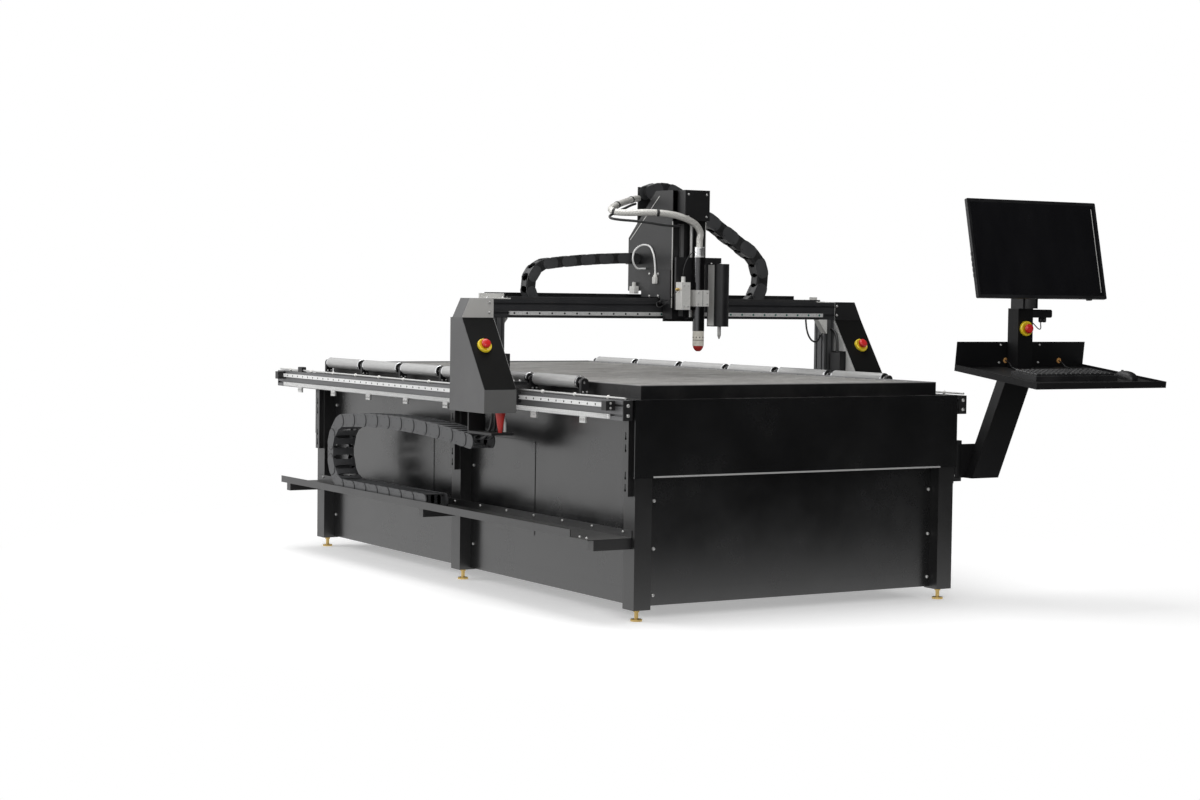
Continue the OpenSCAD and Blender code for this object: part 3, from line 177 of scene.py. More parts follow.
def piece(name, groups, body=None, sharp=35, bevel=0.0):
    """One object of (finish, shapes) groups in table millimetres, at the origin; it rides on a body."""
    points, faces, marks, base = [], [], [], 0
    for k, (finish, shapes) in enumerate(groups):
        for p, fs in shapes:
            for f in fs:
                faces += (f + base).tolist()
                marks += [k]*len(f)
            points.append(p)
            base += len(p)
    mesh = bpy.data.meshes.new(name)
    mesh.from_pydata(metres(np.concatenate(points)).tolist(), [], faces)
    for finish, _ in groups:
        mesh.materials.append(finish)
    mesh.polygons.foreach_set("material_index", np.array(marks, np.int32))
    mesh.polygons.foreach_set("use_smooth", np.ones(len(faces), bool))
    mesh.set_sharp_from_angle(angle=math.radians(sharp))
    obj = bpy.data.objects.new(name, mesh)
    bpy.context.scene.collection.objects.link(obj)
    if bevel:
        edge = obj.modifiers.new("soft_edges", "BEVEL")
        edge.width, edge.segments, edge.limit_method = bevel/1000, 2, "ANGLE"
        edge.angle_limit = math.radians(50)
    if body:
        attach(obj, body)
    return obj


def stand(obj, right, up, back, spot):
    """Puts an object into the scene at a spot in metres, turned to three directions."""
    turn = np.eye(4)
    turn[:3] = np.stack([right, up, back, spot], 1)
    obj.matrix_world = Matrix(turn.tolist())
    bpy.context.scene.collection.objects.link(obj)


# Camera: fitted to the corners of the table in the photograph

CAMERA_SPOT = (-5330.1, -8710.7, 1244.2)
AZIMUTH, PITCH, ROLL = np.radians([-31.210, 2.671, 0.743])
FOCAL_PIXELS, FRAME_PIXELS, SENSOR_MM = 2272.8, 1200, 36.0


def camera():
    """Back, right and up from azimuth, pitch and roll; FOCAL_PIXELS is for the frame's full width."""
    back = np.array([np.sin(AZIMUTH)*np.cos(PITCH), -np.cos(AZIMUTH)*np.cos(PITCH), np.sin(PITCH)])
    level = unit(np.cross([0, 0, 1], back))
    rise = np.cross(back, level)
    right, up = np.cos(ROLL)*level + np.sin(ROLL)*rise, -np.sin(ROLL)*level + np.cos(ROLL)*rise
    data = bpy.data.cameras.new("camera")
    data.sensor_fit, data.sensor_width = "HORIZONTAL", SENSOR_MM
    data.lens = SENSOR_MM*FOCAL_PIXELS/FRAME_PIXELS
    obj = bpy.data.objects.new("camera", data)
    stand(obj, right, up, back, metres(CAMERA_SPOT))
    bpy.context.scene.camera = obj


camera()


# Finishes

def add(tree, kind, props=None, **inputs):
    """A shader node; an input is a socket to link or a plain value, i0, i1 ... name inputs by number."""
    made = tree.nodes.new("ShaderNode" + kind)
    for key, value in (props or {}).items():
        setattr(made, key, value)
    for key, value in inputs.items():
        numbered = key[0] == "i" and key[1:].isdigit()
        socket = made.inputs[int(key[1:])] if numbered else made.inputs[key.replace("_", " ")]
        if isinstance(value, bpy.types.NodeSocket):
            tree.links.new(value, socket)
        else:
            socket.default_value = value
    return made


def sum_of(tree, op, a, b):
    """One step of arithmetic."""
    return add(tree, "Math", {"operation": op}, i0=a, i1=b).outputs[0]


def times(tree, a, b):
    """a times b."""
    return sum_of(tree, "MULTIPLY", a, b)


def plus(tree, a, b):
    """a and b added."""
    return sum_of(tree, "ADD", a, b)


def ramped(tree, value, low, high, to_low=0.0, to_high=1.0):
    """value from low..high to to_low..to_high, held at the ends."""
    return add(tree, "MapRange", {"clamp": True}, Value=value, From_Min=low, From_Max=high,
               To_Min=to_low, To_Max=to_high).outputs[0]


def mixed(tree, share, a, b):
    """Colour a to colour b by share; a colour is a socket or (red, green, blue)."""
    a, b = (c if isinstance(c, bpy.types.NodeSocket) else (*c, 1) for c in (a, b))
    return add(tree, "Mix", {"data_type": "RGBA"}, i0=share, i6=a, i7=b).outputs[2]


def own_place(tree):
    """The place on the object, in metres."""
    return add(tree, "TexCoord").outputs["Object"]


def split(tree, vector):
    """The outputs X, Y and Z of a vector."""
    return add(tree, "SeparateXYZ", Vector=vector).outputs


def stretched(tree, spot, by):
    """A place with its own number on each axis: spot * by."""
    return add(tree, "VectorMath", {"operation": "MULTIPLY"}, i0=spot, i1=by).outputs[0]


def noise(tree, spot, scale, detail, **more):
    """Cloud noise, 0 to 1."""
    return add(tree, "TexNoise", Vector=spot, Scale=scale, Detail=detail, **more).outputs["Fac"]


def effect(name, inputs):
    """A node group with named inputs that gives colour, roughness and height."""
    tree = bpy.data.node_groups.new(name, "ShaderNodeTree")
    kinds = {"c": "NodeSocketColor", "f": "NodeSocketFloat", "v": "NodeSocketVector"}
    for label, kind in inputs.items():
        tree.interface.new_socket(label, in_out="INPUT", socket_type=kinds[kind])
    for label, kind in (("Colour", "c"), ("Roughness", "f"), ("Height", "f")):
        tree.interface.new_socket(label, in_out="OUTPUT", socket_type=kinds[kind])
    start = tree.nodes.new("NodeGroupInput")
    end = tree.nodes.new("NodeGroupOutput")
    return tree, start.outputs, end.inputs


def feed(tree, inputs, **values):
    """Links each value to the input of its name; an underscore stands for a space."""
    for key, value in values.items():
        tree.links.new(value, inputs[key.replace("_", " ")])


def paint_film():
    """Powder coat: fine orange peel, bright flakes, slow mottling, and dust on what looks up."""
    tree, given, end = effect("paint_film", {"Colour": "c", "Roughness": "f", "Grain": "f", "Flakes": "f",
                                             "Dust": "f"})
    spot = own_place(tree)
    peel = noise(tree, spot, given["Grain"], 2.0)
    cloud = noise(tree, spot, 4.2, 5.0, Roughness=0.62)
    cell = add(tree, "TexVoronoi", Vector=spot, Scale=given["Grain"])
    lucky = add(tree, "SeparateColor", Color=cell.outputs["Color"]).outputs["Red"]
    flake = times(tree, ramped(tree, lucky, 0.72, 0.9), given["Flakes"])
    flake = times(tree, ramped(tree, cell.outputs["Distance"], 0.16, 0.05), flake)
    facing_up = split(tree, add(tree, "NewGeometry").outputs["Normal"])["Z"]
    dust = times(tree, ramped(tree, facing_up, 0.5, 0.95), ramped(tree, cloud, 0.36, 0.72))
    dust = times(tree, dust, given["Dust"])
    base = mixed(tree, ramped(tree, cloud, 0.3, 0.75, 0.0, 0.14), given["Colour"], (0.02, 0.02, 0.021))
    base = mixed(tree, flake, base, (0.62, 0.63, 0.65))
    base = mixed(tree, dust, base, (0.30, 0.29, 0.275))
    rough = plus(tree, given["Roughness"], ramped(tree, cloud, 0.3, 0.75, -0.05, 0.07))
    feed(tree, end, Colour=base, Roughness=plus(tree, rough, times(tree, dust, 0.3)), Height=peel)
    return tree


def drawn_metal():
    """Drawn, ground or brushed metal: lines along one way, and slow stains."""
    tree, given, end = effect("drawn_metal", {"Colour": "c", "Stain": "c", "Roughness": "f", "Lines": "v",
                                              "Streak": "f", "Stained": "f"})
    spot = own_place(tree)
    lines = noise(tree, stretched(tree, spot, given["Lines"]), 1.0, 4.0, Roughness=0.6)
    cloud = noise(tree, spot, 7.0, 5.0, Roughness=0.65)
    stain = times(tree, ramped(tree, cloud, 0.42, 0.74), given["Stained"])
    shade = times(tree, ramped(tree, lines, 0.28, 0.72, 1.0, 0.0), given["Streak"])
    dark = mixed(tree, 0.7, given["Colour"], (0.02, 0.02, 0.02))
    tone = mixed(tree, stain, mixed(tree, shade, given["Colour"], dark), given["Stain"])
    rough = plus(tree, given["Roughness"], ramped(tree, lines, 0.25, 0.75, -0.06, 0.08))
    feed(tree, end, Colour=tone, Roughness=plus(tree, rough, times(tree, stain, 0.25)), Height=lines)
    return tree


def moulded_grain():
    """Moulded plastic or rubber: spark-eroded grain, faint flow clouds and light scuffs."""
    tree, given, end = effect("moulded_grain", {"Colour": "c", "Scuff": "c", "Roughness": "f",
                                                "Grain": "f", "Scuffed": "f"})
    spot = own_place(tree)
    grain = noise(tree, spot, given["Grain"], 3.0)
    cloud = noise(tree, spot, 11.0, 4.0)
    marks = noise(tree, stretched(tree, spot, (30.0, 260.0, 210.0)), 1.0, 3.0)
    scuff = times(tree, ramped(tree, marks, 0.62, 0.8), ramped(tree, cloud, 0.45, 0.7))
    scuff = times(tree, scuff, given["Scuffed"])
    tone = mixed(tree, ramped(tree, cloud, 0.3, 0.7, 0.0, 0.22), given["Colour"], given["Scuff"])
    tone = mixed(tree, scuff, tone, given["Scuff"])
    rough = plus(tree, given["Roughness"], ramped(tree, cloud, 0.3, 0.7, -0.05, 0.06))
    feed(tree, end, Colour=tone, Roughness=plus(tree, rough, times(tree, scuff, 0.2)), Height=grain)
    return tree


PAINT, METAL, PLASTIC = paint_film(), drawn_metal(), moulded_grain()
SIDE_LIGHT_HEIGHT = (1.0, 1.1)    # where the painted side light goes from its low tone to its lit tone, in metres


def new_look(name):
    """A fresh material, its tree and the inputs of its Principled surface."""
    made = bpy.data.materials.new(name)
    made.use_nodes = True
    return made, made.node_tree, made.node_tree.nodes["Principled BSDF"].inputs


def dented(tree, height, strength, distance):
    """The normal of a surface with small dents of this height."""
    return add(tree, "Bump", Strength=strength, Distance=distance, Height=height).outputs[0]


def facing_mask(tree, way):
    """1 where the surface looks along way, 0 where it looks elsewhere."""
    out = add(tree, "NewGeometry").outputs["Normal"]
    along = add(tree, "VectorMath", {"operation": "DOT_PRODUCT"}, i0=out, i1=way).outputs["Value"]
    return ramped(tree, along, 0.8, 0.95)


def finish(name, group, colour, roughness, bump, metallic=0.0, coat=0.0, tint=None, shine=0.5, mask=None,
           **values):
    """A Principled surface fed by one effect with its own values; bump is (strength, distance in metres).

    tint = (colour, way, low) is a lighter second colour painted on the faces that look along way: painted
    light for the light that falls on that side, and on some coats also their bare inner faces; low, where
    it is
    given, is its tone below SIDE_LIGHT_HEIGHT. mask = (colour, share) is a second colour by place:
    share(tree, x, y, z) gives how much of it."""
    made, tree, look = new_look(name)
    part = add(tree, "Group", {"node_tree": group})
    values.update(Colour=colour, Roughness=roughness)
    for key, value in values.items():
        part.inputs[key].default_value = (*value, 1) if key in ("Colour", "Stain", "Scuff") else value
    # painted light: faces that look along way are given the lighter colour
    if tint:
        light, way, *low = tint
        if low:
            height = split(tree, own_place(tree))["Z"]
            light = mixed(tree, ramped(tree, height, *SIDE_LIGHT_HEIGHT), low[0], light)
        feed(tree, part.inputs, Colour=mixed(tree, facing_mask(tree, way), colour, light))
    if mask:
        other, share = mask
        there = share(tree, *split(tree, own_place(tree)))
        feed(tree, part.inputs, Colour=mixed(tree, there, colour, other))
    feed(tree, look, Base_Color=part.outputs["Colour"], Roughness=part.outputs["Roughness"],
         Normal=dented(tree, part.outputs["Height"], *bump))
    look["Metallic"].default_value = metallic
    look["Specular IOR Level"].default_value = shine
    look["Coat Weight"].default_value = coat
    look["Coat Roughness"].default_value = 0.12
    return made


def coat_finish(name, colour, roughness, grain=900.0, flakes=0.0, dust=0.0, bump=(0.10, 0.0006), **more):
    """Powder coat on sheet steel."""
    return finish(name, PAINT, colour, roughness, bump, Grain=grain, Flakes=flakes, Dust=dust, **more)


def metal_finish(name, colour, roughness, lines, streak=0.3, stained=0.2, stain=(0.16, 0.15, 0.14),
                 bump=(0.08, 0.0004), metallic=1.0, **more):
    """Bare or anodised metal; a share of metallic below one stands for a fine blasted skin."""
    return finish(name, METAL, colour, roughness, bump, metallic=metallic, Lines=lines, Streak=streak,
                  Stained=stained, Stain=stain, **more)


def plastic_finish(name, colour, roughness, scuff, scuffed=0.4, coat=0.0):
    """Moulded plastic or rubber."""
    return finish(name, PLASTIC, colour, roughness, (0.08, 0.0004), coat=coat, Scuff=scuff,
                  Scuffed=scuffed, Grain=1400.0)


FRONT, LEFT = (0.0, -1.0, 0.0), (-1.0, 0.0, 0.0)

# Each coat: colour, roughness, grain, flakes, dust, bump
black_coat = coat_finish("black_coat", (0.003, 0.003, 0.0032), 0.34, flakes=0.10, dust=0.15, shine=0.9)
panel_coat = coat_finish("panel_coat", (0.0024, 0.0025, 0.0028), 0.24, dust=0.12, shine=1.0)
tray_coat = coat_finish("tray_coat", (0.005, 0.005, 0.0054), 0.46, dust=0.05, shine=0.25)
# painted light: the left housing's coat is a lighter copy of the right housing's hammer paint, and its
# front faces are painted light grey above SIDE_LIGHT_HEIGHT, for light falling from the left
left_hammer_painted_light = coat_finish("left_hammer_painted_light", (0.085, 0.085, 0.086), 0.46, 230.0, 0.25, 0.2, (0.10, 0.0008),
                          tint=((0.44, 0.435, 0.42), FRONT, (0.11, 0.11, 0.108)))
# faces that look left are painted light grey: partly the bare inner sheet, partly painted light falling
# from the left
right_hammer = coat_finish("right_hammer", (0.009, 0.009, 0.0095), 0.46, 230.0, 0.25, 0.2, (0.10, 0.0008),
                           tint=((0.52, 0.52, 0.51), LEFT))
head_coat = coat_finish("head_coat", (0.009, 0.009, 0.0095), 0.42, 300.0, 0.35, 0.15, (0.12, 0.0008))
slope_black = coat_finish("slope_black", (0.006, 0.006, 0.0057), 0.5, 800.0, shine=0.12)
plate_coat = coat_finish("plate_coat", (0.004, 0.004, 0.0044), 0.36, flakes=0.08, dust=0.12)
bracket_black = coat_finish("bracket_black", (0.008, 0.008, 0.009), 0.5, 700.0, dust=0.15)
# faces that look left are painted light grey: partly bare inner faces, partly painted light falling from
# the left
base_coat = coat_finish("base_coat", (0.008, 0.008, 0.009), 0.44, 260.0, 0.2, 0.15,
                        tint=((0.42, 0.42, 0.41), LEFT))

# Each metal: colour, roughness, lines to the metre on x, y and z, streak, stained, stain, bump, metallic
slat_steel = metal_finish("slat_steel", (0.74, 0.73, 0.71), 0.48, (7.0, 260.0, 60.0), 0.4, 0.4,
                          (0.24, 0.225, 0.205), (0.3, 0.001), 0.15)
liner_grey = metal_finish("liner_grey", (0.62, 0.62, 0.61), 0.42, (60.0, 60.0, 60.0), 0.3, 0.3,
                          (0.40, 0.40, 0.39), metallic=0.2)
rail_bar = metal_finish("rail_bar", (0.15, 0.151, 0.155), 0.42, (420.0, 2.5, 420.0), 0.25, 0.12,
                        metallic=0.4)
beam_bar = metal_finish("beam_bar", (0.045, 0.046, 0.050), 0.40, (2.5, 420.0, 420.0), 0.3, 0.1,
                        metallic=0.5)
upright_bar = metal_finish("upright_bar", (0.13, 0.132, 0.136), 0.40, (420.0, 420.0, 2.5), 0.3, 0.1,
                           metallic=0.6)
guide_steel = metal_finish("guide_steel", (0.84, 0.84, 0.835), 0.26, (300.0, 3.0, 300.0), 0.12, 0.05,
                           metallic=0.15)
lift_steel = metal_finish("lift_steel", (0.16, 0.16, 0.162), 0.34, (300.0, 300.0, 3.0), 0.2, 0.1,
                          metallic=0.6)
zinc = metal_finish("zinc", (0.62, 0.62, 0.61), 0.30, (160.0, 160.0, 160.0), 0.25, 0.25, metallic=0.6)
foot_brass = metal_finish("foot_brass", (0.66, 0.47, 0.17), 0.32, (120.0, 120.0, 300.0), 0.3, 0.4,
                          (0.26, 0.17, 0.07), metallic=0.8)
alloy_block = metal_finish("alloy_block", (0.74, 0.735, 0.71), 0.34, (90.0, 260.0, 260.0), 0.2, 0.08,
                           metallic=0.2)
chrome = metal_finish("chrome", (0.78, 0.79, 0.80), 0.10, (60.0, 60.0, 500.0), 0.12, 0.05,
                      bump=(0.02, 0.0002))
roller_steel = metal_finish("roller_steel", (0.50, 0.50, 0.495), 0.36, (300.0, 14.0, 300.0), 0.3, 0.25,
                            (0.36, 0.355, 0.345), metallic=0.3)

# Each plastic: colour, roughness, scuff, scuffed
chain_grey = plastic_finish("chain_grey", (0.045, 0.046, 0.048), 0.40, (0.12, 0.12, 0.125))
chain_dark = plastic_finish("chain_dark", (0.017, 0.0172, 0.018), 0.42, (0.07, 0.07, 0.072))
chain_black = plastic_finish("chain_black", (0.008, 0.008, 0.009), 0.5, (0.05, 0.05, 0.05), 0.3)
plug_teal = plastic_finish("plug_teal", (0.020, 0.12, 0.095), 0.45, (0.06, 0.2, 0.17), 0.3)
stop_yellow = plastic_finish("stop_yellow", (0.83, 0.62, 0.012), 0.3, (0.88, 0.70, 0.12), 0.2, coat=0.2)
stop_red = plastic_finish("stop_red", (0.62, 0.010, 0.012), 0.28, (0.66, 0.10, 0.09), 0.25, coat=0.3)
cone_red = plastic_finish("cone_red", (0.46, 0.012, 0.010), 0.4, (0.55, 0.12, 0.10), 0.35)
case_black = plastic_finish("case_black", (0.006, 0.006, 0.007), 0.42, (0.04, 0.04, 0.042), 0.2)
key_black = plastic_finish("key_black", (0.010, 0.010, 0.011), 0.5, (0.07, 0.07, 0.07))
cable_black = plastic_finish("cable_black", (0.010, 0.010, 0.011), 0.44, (0.08, 0.08, 0.08), 0.5)
fitting_white = plastic_finish("fitting_white", (0.74, 0.73, 0.70), 0.36, (0.86, 0.86, 0.85), 0.3)
tube_white = plastic_finish("tube_white", (0.80, 0.80, 0.79), 0.3, (0.9, 0.9, 0.9), 0.2, coat=0.2)
gasket_amber = plastic_finish("gasket_amber", (0.60, 0.30, 0.09), 0.5, (0.7, 0.45, 0.2), 0.3)


def end_plates(tree, x, y, z):
    """Below the rod, ahead of the front stop or behind the rear one."""
    ends = plus(tree, ramped(tree, y, -1.2840, -1.2850), ramped(tree, y, 1.7960, 1.7970))
    return times(tree, ends, ramped(tree, z, 0.8475, 0.8465))


def tub_outside(tree, x, y, z):
    """The outer faces of the tub's walls, below its rim."""
    sides = plus(tree, ramped(tree, x, -0.9365, -0.9375), ramped(tree, x, 0.5005, 0.5015))
    ends = plus(tree, ramped(tree, y, -1.3190, -1.3200), ramped(tree, y, 1.4820, 1.4830))
    around = sum_of(tree, "MINIMUM", plus(tree, sides, ends), 1.0)
    return times(tree, around, ramped(tree, z, 0.8970, 0.8955))


def top_guide(tree, x, y, z):
    """The guide and the rack on the beam's upper face."""
    return ramped(tree, z, 1.2172, 1.2178)


def parted_metal(name, light, dark, share, roughness):
    """Two metals on one node: share gives the dark one's part by place."""
    return metal_finish(name, light, roughness, (160.0, 60.0, 160.0), 0.22, 0.12, metallic=0.4,
                        mask=(dark, share))


fitting_metal = parted_metal("fitting_metal", (0.66, 0.66, 0.65), (0.02, 0.02, 0.021), end_plates, 0.34)
beam_guide = parted_metal("beam_guide", (0.84, 0.84, 0.835), (0.07, 0.07, 0.072), top_guide, 0.30)
tub_steel = parted_metal("tub_steel", (0.36, 0.36, 0.365), (0.010, 0.010, 0.011), tub_outside, 0.42)


def barrel_finish():
    """Dark polished sleeve up to 1404 mm, and a bright ground collar above it."""
    made, tree, look = new_look("barrel_gloss")
    spot = own_place(tree)
    lines = noise(tree, stretched(tree, spot, (900.0, 900.0, 30.0)), 1.0, 3.0)
    share = ramped(tree, lines, 0.3, 0.7)
    collar = ramped(tree, split(tree, spot)["Z"], 1.4035, 1.4045)
    sleeve = mixed(tree, share, (0.07, 0.07, 0.072), (0.11, 0.11, 0.113))
    ground = mixed(tree, share, (0.66, 0.66, 0.65), (0.78, 0.78, 0.77))
    rough = plus(tree, ramped(tree, lines, 0.3, 0.7, 0.08, 0.14), times(tree, collar, 0.1))
    feed(tree, look, Base_Color=mixed(tree, collar, sleeve, ground), Roughness=rough,
         Metallic=ramped(tree, collar, 0.0, 1.0, 1.0, 0.5))
    return made


def screen_finish():
    """Dark glass over a black panel, with a faint haze of wiped dust."""
    made, tree, look = new_look("screen_glass")
    haze = noise(tree, stretched(tree, own_place(tree), (6.0, 6.0, 2.0)), 1.6, 5.0, Roughness=0.6)
    wiped = ramped(tree, haze, 0.4, 0.8, 0.0, 0.3)
    tone = mixed(tree, wiped, (0.004, 0.004, 0.005), (0.014, 0.014, 0.016))
    feed(tree, look, Base_Color=tone, Roughness=ramped(tree, haze, 0.35, 0.75, 0.16, 0.3))
    return made


def nozzle_finish():
    """Cream heat-proof cap above 1030 mm, red shield below it, a dark band painted as the shade in a
    groove, and soot in patches.
    """
    made, tree, look = new_look("nozzle_cap")
    spot = own_place(tree)
    height = split(tree, spot)["Z"]
    soot = noise(tree, spot, 90.0, 4.0)
    cream = mixed(tree, ramped(tree, soot, 0.45, 0.8, 0.0, 0.5), (0.68, 0.65, 0.58), (0.44, 0.39, 0.31))
    red = mixed(tree, ramped(tree, soot, 0.4, 0.8, 0.0, 0.6), (0.48, 0.016, 0.012), (0.16, 0.008, 0.006))
    tone = mixed(tree, ramped(tree, height, 1.0296, 1.0304), red, cream)
    # painted shade: a dark band from 1052.5 to 1056 mm stands for the shade in the cap's groove
    groove_shade = times(tree, ramped(tree, height, 1.0525, 1.0532), ramped(tree, height, 1.0560, 1.0553))
    feed(tree, look, Base_Color=mixed(tree, groove_shade, tone, (0.10, 0.085, 0.06)),
         Roughness=ramped(tree, soot, 0.3, 0.8, 0.34, 0.55), Normal=dented(tree, soot, 0.15, 0.0006))
    return made


def braid_finish():
    """Braided wire sleeve: two families of strands cross on the tube's own map, u along and v around."""
    made, tree, look = new_look("braid_sleeve")
    u, v, _ = split(tree, add(tree, "UVMap", {"uv_map": "run"}).outputs[0])
    along, turns = times(tree, u, 90.0), times(tree, v, 14.0)
    waves = [sum_of(tree, "SINE", times(tree, sum_of(tree, sign, along, turns), 2*math.pi), 0.0)
             for sign in ("ADD", "SUBTRACT")]
    strands = sum_of(tree, "MAXIMUM", *waves)
    tone = mixed(tree, ramped(tree, strands, -0.2, 0.9), (0.26, 0.25, 0.23), (0.84, 0.83, 0.79))
    feed(tree, look, Base_Color=tone, Roughness=ramped(tree, strands, -0.2, 0.9, 0.55, 0.28),
         Normal=dented(tree, strands, 0.5, 0.0012))
    look["Metallic"].default_value = 0.45
    return made


screen_glass, nozzle_cap = screen_finish(), nozzle_finish()
braid_sleeve, barrel_gloss = braid_finish(), barrel_finish()

FINISHED_NODES = {
    black_coat: "posts bed_frame rail_brackets chain_trough beam_tray",
    panel_coat: "aprons panels",
    tray_coat: "console_arm console_tray console_mast",
    bracket_black: "roller_brackets console_bracket drive_motors chain_arm carriage_motors tool_slide "
                   "monitor_mount",
    slat_steel: "slats slat_racks",
    guide_steel: "rail_guides gear_racks",
    roller_steel: "rollers_left rollers_right",
    zinc: "pinion_left pinion_right pinion_cross lift_screw scribe",
    alloy_block: "torch_clamp breakaway_block",
    case_black: "marker_housing monitor",
    foot_brass: "levelling_feet", tub_steel: "bed_tub", rail_bar: "rails", fitting_metal: "rail_fittings",
    beam_bar: "beam", beam_guide: "beam_fittings", upright_bar: "uprights", base_coat: "gantry_bases",
    left_hammer_painted_light: "left_housing", right_hammer: "right_housing", cone_red: "gantry_conduit",
    plate_coat: "carriage_frame", lift_steel: "carriage_guides", head_coat: "head_cover",
    barrel_gloss: "torch_body", nozzle_cap: "torch_nozzle", key_black: "keyboard",
}

for look, nodes in FINISHED_NODES.items():
    for node in nodes.split():
        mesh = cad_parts[node].data
        mesh.materials.clear()
        mesh.materials.append(look)


# Cords: smooth lines through given points, with a round section

def eased(points, steps):
    """Catmull-Rom line: 0.5 (2b + (c-a)t + (2a-5b+4c-d)t2 + (3b-a-3c+d)t3) from b to c, ends doubled."""
    p = np.asarray(points, float)
    p = np.concatenate([p[:1], p, p[-1:]])
    a, b, c, d = p[:-3, None], p[1:-2, None], p[2:-1, None], p[3:, None]
    t = (np.arange(steps)/steps)[None, :, None]
    line = 0.5*(2*b + (c - a)*t + (2*a - 5*b + 4*c - d)*t**2 + (3*b - a - 3*c + d)*t**3)
    return np.concatenate([line.reshape(-1, 3), p[-1:]])


def run_of(path):
    """Length along a path at each of its points."""
    return np.concatenate([[0], np.cumsum(np.linalg.norm(np.diff(path, axis=0), axis=1))])


def cable(name, points, d, look, slot, body=None, steps=5, sides=12, up=(0.31, 0.17, 0.94),
          stiffness="medium", lay="loose", ribs=None):
    """A tube of diameter d along the eased points; ribs = (pitch, depth) make it a corrugated conduit."""
    path = eased(points, steps)
    if ribs:
        run = run_of(path)
        fine = np.linspace(0, run[-1], int(run[-1]/ribs[0]*4) + 1)
        path = np.stack([np.interp(fine, run, path[:, k]) for k in range(3)], 1)
    shape = swept(disc(d, sides), path, up)
    if ribs:
        swell = 1 - ribs[1]/d*(1 + np.cos(2*np.pi*fine/ribs[0]))
        grid = shape[0].reshape(len(path), sides, 3)
        shape = ((path[:, None] + (grid - path[:, None])*swell[:, None, None]).reshape(-1, 3), shape[1])
    obj = piece(name, [(look, [shape])], body, sharp=80)
    return obj, path


def tube_map(obj, path, sides):
    """Map of a tube: u is the length along it in metres, v goes round once."""
    run = run_of(path)/1000
    cols = np.arange(sides)[None]
    r = np.arange(len(path) - 1)[:, None]
    u = np.stack(np.broadcast_arrays(run[r], run[r], run[r + 1], run[r + 1]), -1) + 0*cols[..., None]
    v = np.stack([cols, cols + 1, cols + 1, cols], -1)/sides + 0*r[..., None]
    uv = np.stack([u, v], -1).reshape(-1)
    layer = obj.data.uv_layers.new(name="run")
    flat = np.zeros(2*len(obj.data.loops))
    flat[:len(uv)] = uv
    layer.data.foreach_set("uv", flat)


def wire(name, points, d, body=None, **more):
    """A black cable."""
    return cable(name, points, d, cable_black, "black_plastic", body, **more)


COLLAR_TOP = np.array([TORCH_X, TORCH_Y, 1448.0])
LEAD_ROUTE = COLLAR_TOP + [[0, 0, 0.3], [0, 0, 16], [0, 0, 32], [0, -4, 62], [-26, -7, 94],
                           [-72, -6, 116], [-118, 4, 130], [-172, 22, 138], [-236, 46, 140],
                           [-298, 78, 138], [-338, 116, 140], [-348, 150, 150], [-324, 180, 162],
                           [-286, 206, 174], [-242, 236, 185], [-184, 274, 198], [-128, 316, 208],
                           [-84, 361, 212]]
LEAD_SIDES = 20
torch_lead, lead_line = cable("torch_lead_braid", LEAD_ROUTE, 28, braid_sleeve, "braid", steps=6,
                              sides=LEAD_SIDES, up=(1, 0.05, 0.1), stiffness="stiff")
tube_map(torch_lead, lead_line, LEAD_SIDES)
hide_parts("torch_lead")
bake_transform(torch_lead)

AIR_FOOT = np.array([HEAD_LEFT, -391.0, 1356.0])
AIR_ROUTE = AIR_FOOT + [[-0.3, 0, 0], [-8, 0, 0], [-16, 0, 0], [-44, 0, 2], [-64, 0, 34], [-56, 0, 76],
                        [-30, -16, 100], [-8, -44, 96], [-5, -72, 62], [-5, -84, 20], [-5, -88, -20]]
air_tube, _ = cable("air_line", AIR_ROUTE, 8, tube_white, "white_tube", "carriage", steps=6,
                    up=(0.1, 0.2, 1))
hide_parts("air_tube")

SECOND_LEAD = [[-40, -602, 1542], [-44, -622, 1540], [-60, -644, 1536], [-96, -652, 1534],
               [-150, -646, 1538], [-206, -630, 1546], [-262, -604, 1552], [-306, -572, 1556],
               [-330, -536, 1562], [-322, -504, 1572], [-288, -474, 1584], [-238, -440, 1598],
               [-180, -400, 1614], [-128, -362, 1628], [-92, -340, 1636]]
wire("second_lead", SECOND_LEAD, 11, "carriage")
wire("block_wire", [[-54, -668, 1322], [-54, -668, 1338], [-52, -671, 1360], [-45, -677, 1388],
                    [-32, -682, 1412], [-18, -683, 1424], [-6, -683, 1428]], 4, "tool", stiffness="limp")

PROBE_WIRE = [[-87, -522, 1212], [-92, -523, 1210], [-98, -531, 1201], [-103, -553, 1191],
              [-103, -586, 1197], [-97, -622, 1220], [-86, -655, 1250], [-77, -668, 1266]]
probe_wire, _ = wire("probe_wire", PROBE_WIRE, 3, stiffness="limp", lay="hanging")
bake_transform(probe_wire)

TRAY_FOOT, TRAY_TILT = np.array([1106.0, -1724.0, 935.0]), math.radians(6.5)
TRAY_AXES = np.array([[1, 0, 0], [0, math.cos(TRAY_TILT), math.sin(TRAY_TILT)],
                      [0, -math.sin(TRAY_TILT), math.cos(TRAY_TILT)]])


def on_tray(points):
    """Points of the tilted tray: middle + x across + y to the back + z off the tray."""
    return TRAY_FOOT + np.asarray(points, float) @ TRAY_AXES


